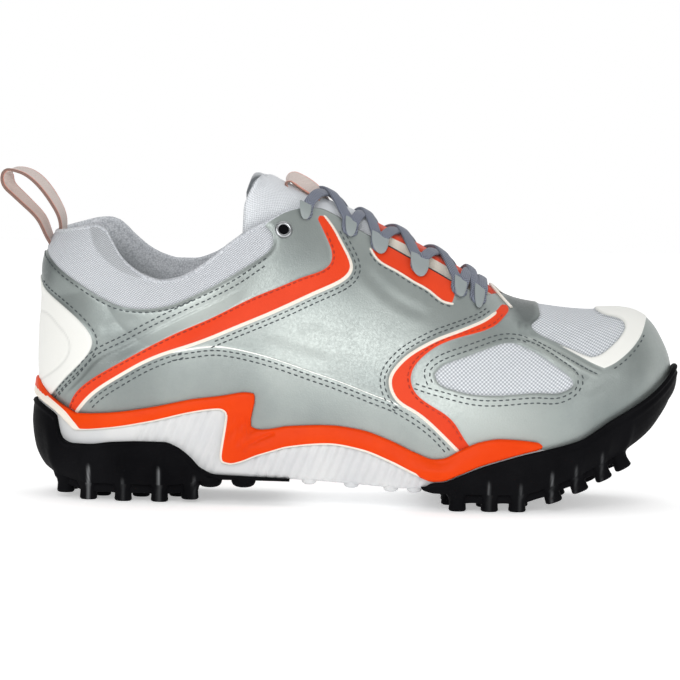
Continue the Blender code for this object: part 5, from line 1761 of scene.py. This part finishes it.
def laceRun(startX, endX, startSide, lift):
    # over the tongue from one throat edge to the other: the section angle climbs to the ridge and falls again
    t = np.linspace(0, 1, 13)
    up = 1 - np.abs(2 * t - 1)
    a = angleOf(startX + (endX - startX) * t)
    low, high = lacing["off"]
    off = (low + (high - low) * t) * (1 - up) + lacing["ridgeOff"] * up + lift * np.sin(math.pi * t) ** 4
    halves = []
    for side in (startSide, -startSide):
        low = edgePhi(a, side)
        phi = low + (halfPi - low) * up
        halves.append(raised(a, side, shareOfPhi(a, phi), off))
    return np.where((t < 0.5)[:, None], *halves)


def laceTuck(x, side):
    # the turn under a tab, from the upper strand's place to the next
    shift = np.array((1.0, 0.9, 0.0, -0.9, -1.0)) * lacing["apart"] * 0.9
    a = angleOf(x + shift)
    below = lacing["tuck"] * np.array((0.5, 0.85, 1.0, 0.85, 0.5))
    return raised(a, side, shareOfPhi(a, edgePhi(a, side, below)), np.full(5, lacing["tuckOff"]))


def laceStrand(startSide, lift):
    # one whole strand: from the middle of the lowest bar under the tabs of alternate sides to the last tab
    rows = lacing["rows"]
    apart = lacing["apart"]
    points = [laceRun(rows[0] + apart, rows[0] + apart, -startSide, 0.0)[6:]]
    side = startSide
    for x0, x1 in zip(rows[:-1], rows[1:]):
        points += [laceTuck(x0, side), laceRun(x0 - apart, x1 + apart, side, lift)]
        side = -side
        lift = -lift
    points.append(laceTuck(rows[-1], side)[:3])
    return curve(np.concatenate(points), 0.8)


def lastNormals(points):
    # outward direction of the last beside any points near it, from its own height and middle line
    x = np.clip(points[:, 0], 30, last["throatEnd"])
    a = angleOf(x)
    side = np.where(points[:, 1] > spline(x, form["x"], form["ridgeY"]), medial, lateral)
    f = shareOf(a, np.minimum(points[:, 2] - 3.0, ridgeOf(a)))
    both = {s: normalOf(a, s, f) for s in (lateral, medial)}
    return np.where((side == medial)[:, None], both[medial], both[lateral])


def blurred(values, width):
    # running mean of rows, weighted by a raised cosine
    kernel = np.hanning(width + 2)[1:-1]
    kernel /= kernel.sum()
    padded = np.pad(values, ((width // 2, width // 2), (0, 0)), mode="edge")
    return np.stack([np.convolve(row, kernel, mode="valid") for row in padded.T], axis=-1)


def makeLaces():
    # both strands as flat bands that lie on the last
    half = (lacing["halfWidth"], lacing["halfThick"])
    meshes, weaves = [], []
    for side, lift in ((lateral, lacing["lift"]), (medial, -lacing["lift"] * 0.4)):
        path = laceStrand(side, lift)
        tangent = unit(np.gradient(path, axis=0))
        normal = blurred(lastNormals(path), 11)
        across = unit(np.cross(normal, tangent))
        mesh, weave = swept(path, across, np.cross(tangent, across), *half, power=0.8)
        meshes.append(mesh)
        weaves.append(weave)
    stands = ["lace_bar"] + [f"lace_cross_{n}" for n in range(1, 6)]
    points, faces = joined(*meshes)
    values = {"weave": np.concatenate(weaves)}
    return addPiece("lace", points, faces, laceMaterial, "grey_webbing", stands, values, recalc=True)


def surfaceFrame(a, side, f):
    # a place on the last with its outward, upward and forward directions
    base = body(a, side, f)
    normal = normalOf(a, side, f)
    forward = body(a + 0.01, side, f) - body(a - 0.01, side, f)
    forward = unit(forward - normal * np.dot(forward, normal))
    return base, normal, np.cross(normal, forward) * side, forward


def makeTabs():
    # leather straps on the eyestay with a rounded lower end, each over the turn of the lace
    meshes, stands = [], []
    share = np.linspace(-lacing["tabFold"], 1, 24)
    lowEnd = np.sqrt(np.clip(1 - np.maximum(share, 0) ** 2.6, 0.01, 1))
    highEnd = np.sqrt(np.clip(1 - (np.minimum(share, 0) / 0.19) ** 4, 0, 1))
    profile = lowEnd * highEnd
    off = lacing["tabOff"] - (lacing["tabOff"] - 0.6) * np.clip(share, 0, 1) ** 2
    off = off - lacing["tabSink"] * np.clip(-share / lacing["tabFold"], 0, 1) ** 2
    tabs = list(zip(lacing["rows"], lacing["tabHalf"], lacing["tabLength"]))
    for name, side in (("lateral", lateral), ("medial", medial)):
        for number, (x, half, length) in enumerate(tabs, 1):
            a = np.full(len(share), angleOf(x))
            f = shareOfPhi(a, edgePhi(a, side, share * length))
            path = raised(a, side, f, off)
            forward = unit(body(a + 0.01, side, f) - body(a - 0.01, side, f))
            normal = np.cross(unit(np.gradient(path, axis=0)), forward)
            mesh, _ = swept(path, forward, unit(normal), half * profile, lacing["tabThick"] / 2, 20, 0.55)
            meshes.append(mesh)
            stands.append(f"lace_tab_{name}_{number}")
    points, faces = joined(*meshes)
    return addPiece("lace_tabs", points, faces, tabMaterial, "grey_webbing", stands, recalc=True)


throatBead = {"back": 208.6, "reach": 10.0, "spread": 0.34, "radius": 0.75, "lift": (0.9, 0.1), "steps": 61}


def makeThroatBead():
    # rolled edge over the end of the throat: its station moves on and its lift falls with the way out
    way = np.linspace(-1, 1, throatBead["steps"])
    a = angleOf(throatBead["back"] + throatBead["reach"] * np.abs(way) ** 1.4)
    f = shareOfPhi(a, halfPi - throatBead["spread"] * np.abs(way))
    start, end = throatBead["lift"]
    off = start + (end - start) * np.abs(way)
    sides = [raised(a, side, f, off) for side in (lateral, medial)]
    path = np.where((way < 0)[:, None], *sides)
    tangent = unit(np.gradient(path, axis=0))
    across = unit(np.cross(lastNormals(path), tangent))
    radius = throatBead["radius"]
    mesh, _ = swept(path, across, np.cross(tangent, across), radius, radius, 12, 1.0)
    return addPiece("throat_bead", *mesh, beadMaterial, "white_leather", recalc=True)


eyelet = {"x": 112.6, "z": 126.0, "ring": 3.15, "wire": 0.9, "lift": 0.7, "hole": 2.86, "sunk": 0.3}


def makeEyelets():
    # metal rings as small tori, each over a dark disc that paints the shade inside its hole
    turn = np.linspace(0, 2 * math.pi, 32, endpoint=False)
    small = np.linspace(0, 2 * math.pi, 12, endpoint=False)
    meshes, shadowDiscs = [], []
    a = angleOf(eyelet["x"])
    for side in (lateral, medial):
        base, normal, up, forward = surfaceFrame(a, side, shareOf(a, eyelet["z"]))
        ring = np.cos(turn)[:, None] * forward + np.sin(turn)[:, None] * up
        middle = base + normal * eyelet["lift"]
        radius = eyelet["ring"] + eyelet["wire"] * np.cos(small)
        points = middle + ring[:, None] * radius[:, None] + normal * (eyelet["wire"] * np.sin(small))[:, None]
        points = np.concatenate([points, points[:1]])
        meshes.append((points, gridFaces(len(turn) + 1, len(small), closed=True)))
        sunk = middle - normal * eyelet["sunk"]
        shadowDisc = np.stack([np.broadcast_to(sunk, ring.shape), sunk + ring * eyelet["hole"]])
        shadowDisc = np.concatenate([shadowDisc, shadowDisc[:, :1]], axis=1)
        shadowDiscs.append((shadowDisc, gridFaces(2, len(turn) + 1)))
    points, faces = joined(*meshes)
    stands = ["eyelet_lateral", "eyelet_medial"]
    addPiece("eyelets", points, faces, metalMaterial, "nickel", stands, recalc=True)
    points, faces = joined(*shadowDiscs)
    # dark discs that paint the shade inside the eyelet holes
    addPiece("eyelet_hole_shadows", points, faces, rubberMaterial)


stitching = {
    "pitch": 3.0,
    "length": 2.0,
    "radius": 0.31,
    "lift": 0.1,
    "sides": 6,
    # places along a stitch as shares of its length, shares of its radius there
    "capsule": ((-0.5, 0.0), (-0.42, 0.6), (-0.25, 1.0), (0.25, 1.0), (0.42, 0.6), (0.5, 0.0)),
}
# rows of stitches: line, offsets to its left, shares of the line between which it is sewn
greyRows = (
    ("collarSeam", (-1.6,), (0, 0.62)),
    ("band", (-1.2, 1.2), (0, 1)),
    ("patch", (2.2,), (0, 1)),
    ("rearLower", (2.6, 4.6), (0.05, 0.6)),
    ("rearLower", (2.6, 4.9), (0.66, 0.97)),
    ("saddle", (-1.7, -3.9), (0, 1)),
    ("foreBead", (-2.2, -4.2), (0, 0.72)),
    ("windowLow", (-2.3, -4.7), (0, 1)),
    ("windowRear", (2.3, 4.8), (0, 1)),
    ("windowHigh", (3.2,), (0.16, 1)),
    ("stripLow", (-2.9,), (0, 1)),
    ("stripFront", (2.4,), (0.45, 0.97)),
    ("eyestayLow", (1.8,), (0, 1)),
)
orangeRows = (
    ("rearUpper", (-1.0,), (0, 0.98)),
    ("foreLower", (1.3,), (0.04, 0.94)),
)


def stitchedLine(line, offset, cut):
    # a line moved to its left by an offset, between two shares of its length
    edge = np.gradient(line, axis=0)
    left = unit(np.stack([-edge[:, 1], edge[:, 0]], axis=-1))
    first, end = (int(share * len(line)) for share in cut)
    return (line + left * offset)[first:end]


def makeStitches(name, rows, material):
    # each stitch a short capsule along its row, sunk by half into the skin
    places, ways = [], []
    rows = [stitchedLine(lines[line], offset, cut) for line, offsets, cut in rows for offset in offsets]
    for row in rows:
        run = lengthAlong(row)
        at = np.arange(stitching["pitch"] / 2, run[-1] - stitching["pitch"] / 2, stitching["pitch"])
        for found, step in ((places, 0), (ways, 0.4)):
            found.append(np.stack([np.interp(at + step, run, way) for way in row.T], axis=-1))
    places, ways = np.concatenate(places), np.concatenate(ways)
    height, _ = skinRelief(places)
    shape, faces = revolved(stitching["capsule"], stitching["sides"])
    wide, deep, long = (shape.reshape(-1, 3)[:, [k]] for k in range(3))
    meshes = []
    for side in (lateral, medial):
        a, phi = fromChart(*places.T)
        keep = phi < topPhi(a, side) - 0.01
        a, phi, off = a[keep], phi[keep], height[keep]
        b, psi = fromChart(*ways[keep].T)
        f = shareOfPhi(a, phi)
        base = raised(a, side, f, off + stitching["lift"])
        tangent = unit(body(b, side, shareOfPhi(b, psi)) - body(a, side, f))
        normal = normalOf(a, side, f)
        across = unit(np.cross(normal, tangent))
        size = stitching["radius"]
        points = (
            base[:, None]
            + tangent[:, None] * (long * stitching["length"])
            + across[:, None] * (wide * size)
            + np.cross(tangent, across)[:, None] * (deep * size)
        )
        every = faces[None] + (np.arange(len(base)) * points.shape[1])[:, None, None]
        meshes.append((points, every.reshape(-1, 4)))
    points, faces = joined(*meshes)
    return addPiece(name, points, faces, material, recalc=True)


makeLining()
makeInsole()
makeMidsole()
makeFrame()
makeOutsoles()
makeTongue()
makeLoop("pull_loop_tape", "pull_loop", pullLoop)
makeLoop("tongue_loop_tape", "tongue_loop", tongueLoop)
makeLaces()
makeTabs()
makeThroatBead()
makeEyelets()
makeStitches("stitches", greyRows, threadMaterial)
makeStitches("stitches_orange", orangeRows, orangeThread)
print("pieces made")

studio = {
    "floor": rgb(244, 244, 244),
    "white": (1, 1, 1, 1),
    "floorSize": 8.0,
    "floorGlow": 0.42,
    "backdrop": 1.6,
    "world": 0.30,
    "key": ((-0.35, -1.7, 0.75), 1.1, 15.5),
    "fill": ((1.3, -1.2, 0.5), 1.0, 5.0),
    "top": ((0.1, 0.2, 1.6), 1.4, 5.0),
}


def addLight(name, place, size, power):
    data = bpy.data.lights.new(name, "AREA")
    data.size, data.energy = size, power
    light = bpy.data.objects.new(name, data)
    light.location = place
    light.rotation_euler = (Vector((0, 0, 0.07)) - Vector(place)).to_track_quat("-Z", "Y").to_euler()
    bpy.context.scene.collection.objects.link(light)


def addPlane(name, corners, material):
    mesh = bpy.data.meshes.new(name)
    mesh.from_pydata(corners, [], [(0, 1, 2, 3)])
    mesh.materials.append(material)
    plane = bpy.data.objects.new(name, mesh)
    bpy.context.scene.collection.objects.link(plane)
    return plane


def makeStudio():
    # pale floor, a white backdrop that is clear from behind, three soft lights
    half, y = studio["floorSize"] / 2, studio["backdrop"]
    glowing = {"glow": studio["white"], "glowStrength": studio["floorGlow"]}
    material, _, _ = newMaterial("floor", colour=studio["floor"], rough=0.9, specular=0.1, **glowing)
    corners = [(-half, -half, 0), (half, -half, 0), (half, half, 0), (-half, half, 0)]
    floor = addPlane("floor", corners, material)
    glowing["glowStrength"] = 1.0
    material, tree, shader = newMaterial("backdrop", colour=(0, 0, 0, 1), rough=1.0, specular=0.0, **glowing)
    behind = put(tree, "NewGeometry").outputs["Backfacing"]
    clear = put(tree, "BsdfTransparent").outputs[0]
    mixed = put(tree, "MixShader", {0: behind, 1: shader.outputs[0], 2: clear}).outputs[0]
    tree.links.new(mixed, tree.nodes["Material Output"].inputs["Surface"])
    corners = [(-half, y, 0), (half, y, 0), (half, y, half), (-half, y, half)]
    backdrop = addPlane("backdrop", corners, material)
    world = bpy.data.worlds.new("studio")
    bpy.context.scene.world = world
    world.use_nodes = True
    world.node_tree.nodes["Background"].inputs[0].default_value = studio["white"]
    world.node_tree.nodes["Background"].inputs[1].default_value = studio["world"]
    for name in ("key", "fill", "top"):
        addLight(name, *studio[name])
    bpy.context.scene.view_settings.view_transform = "Standard"


makeStudio()


def writeSize():
    # only defines a helper that turns a box's corners into plain lists; no bounds are taken or kept
    def plain(box):
        return [[float(v) for v in corner] for corner in box]


writeSize()
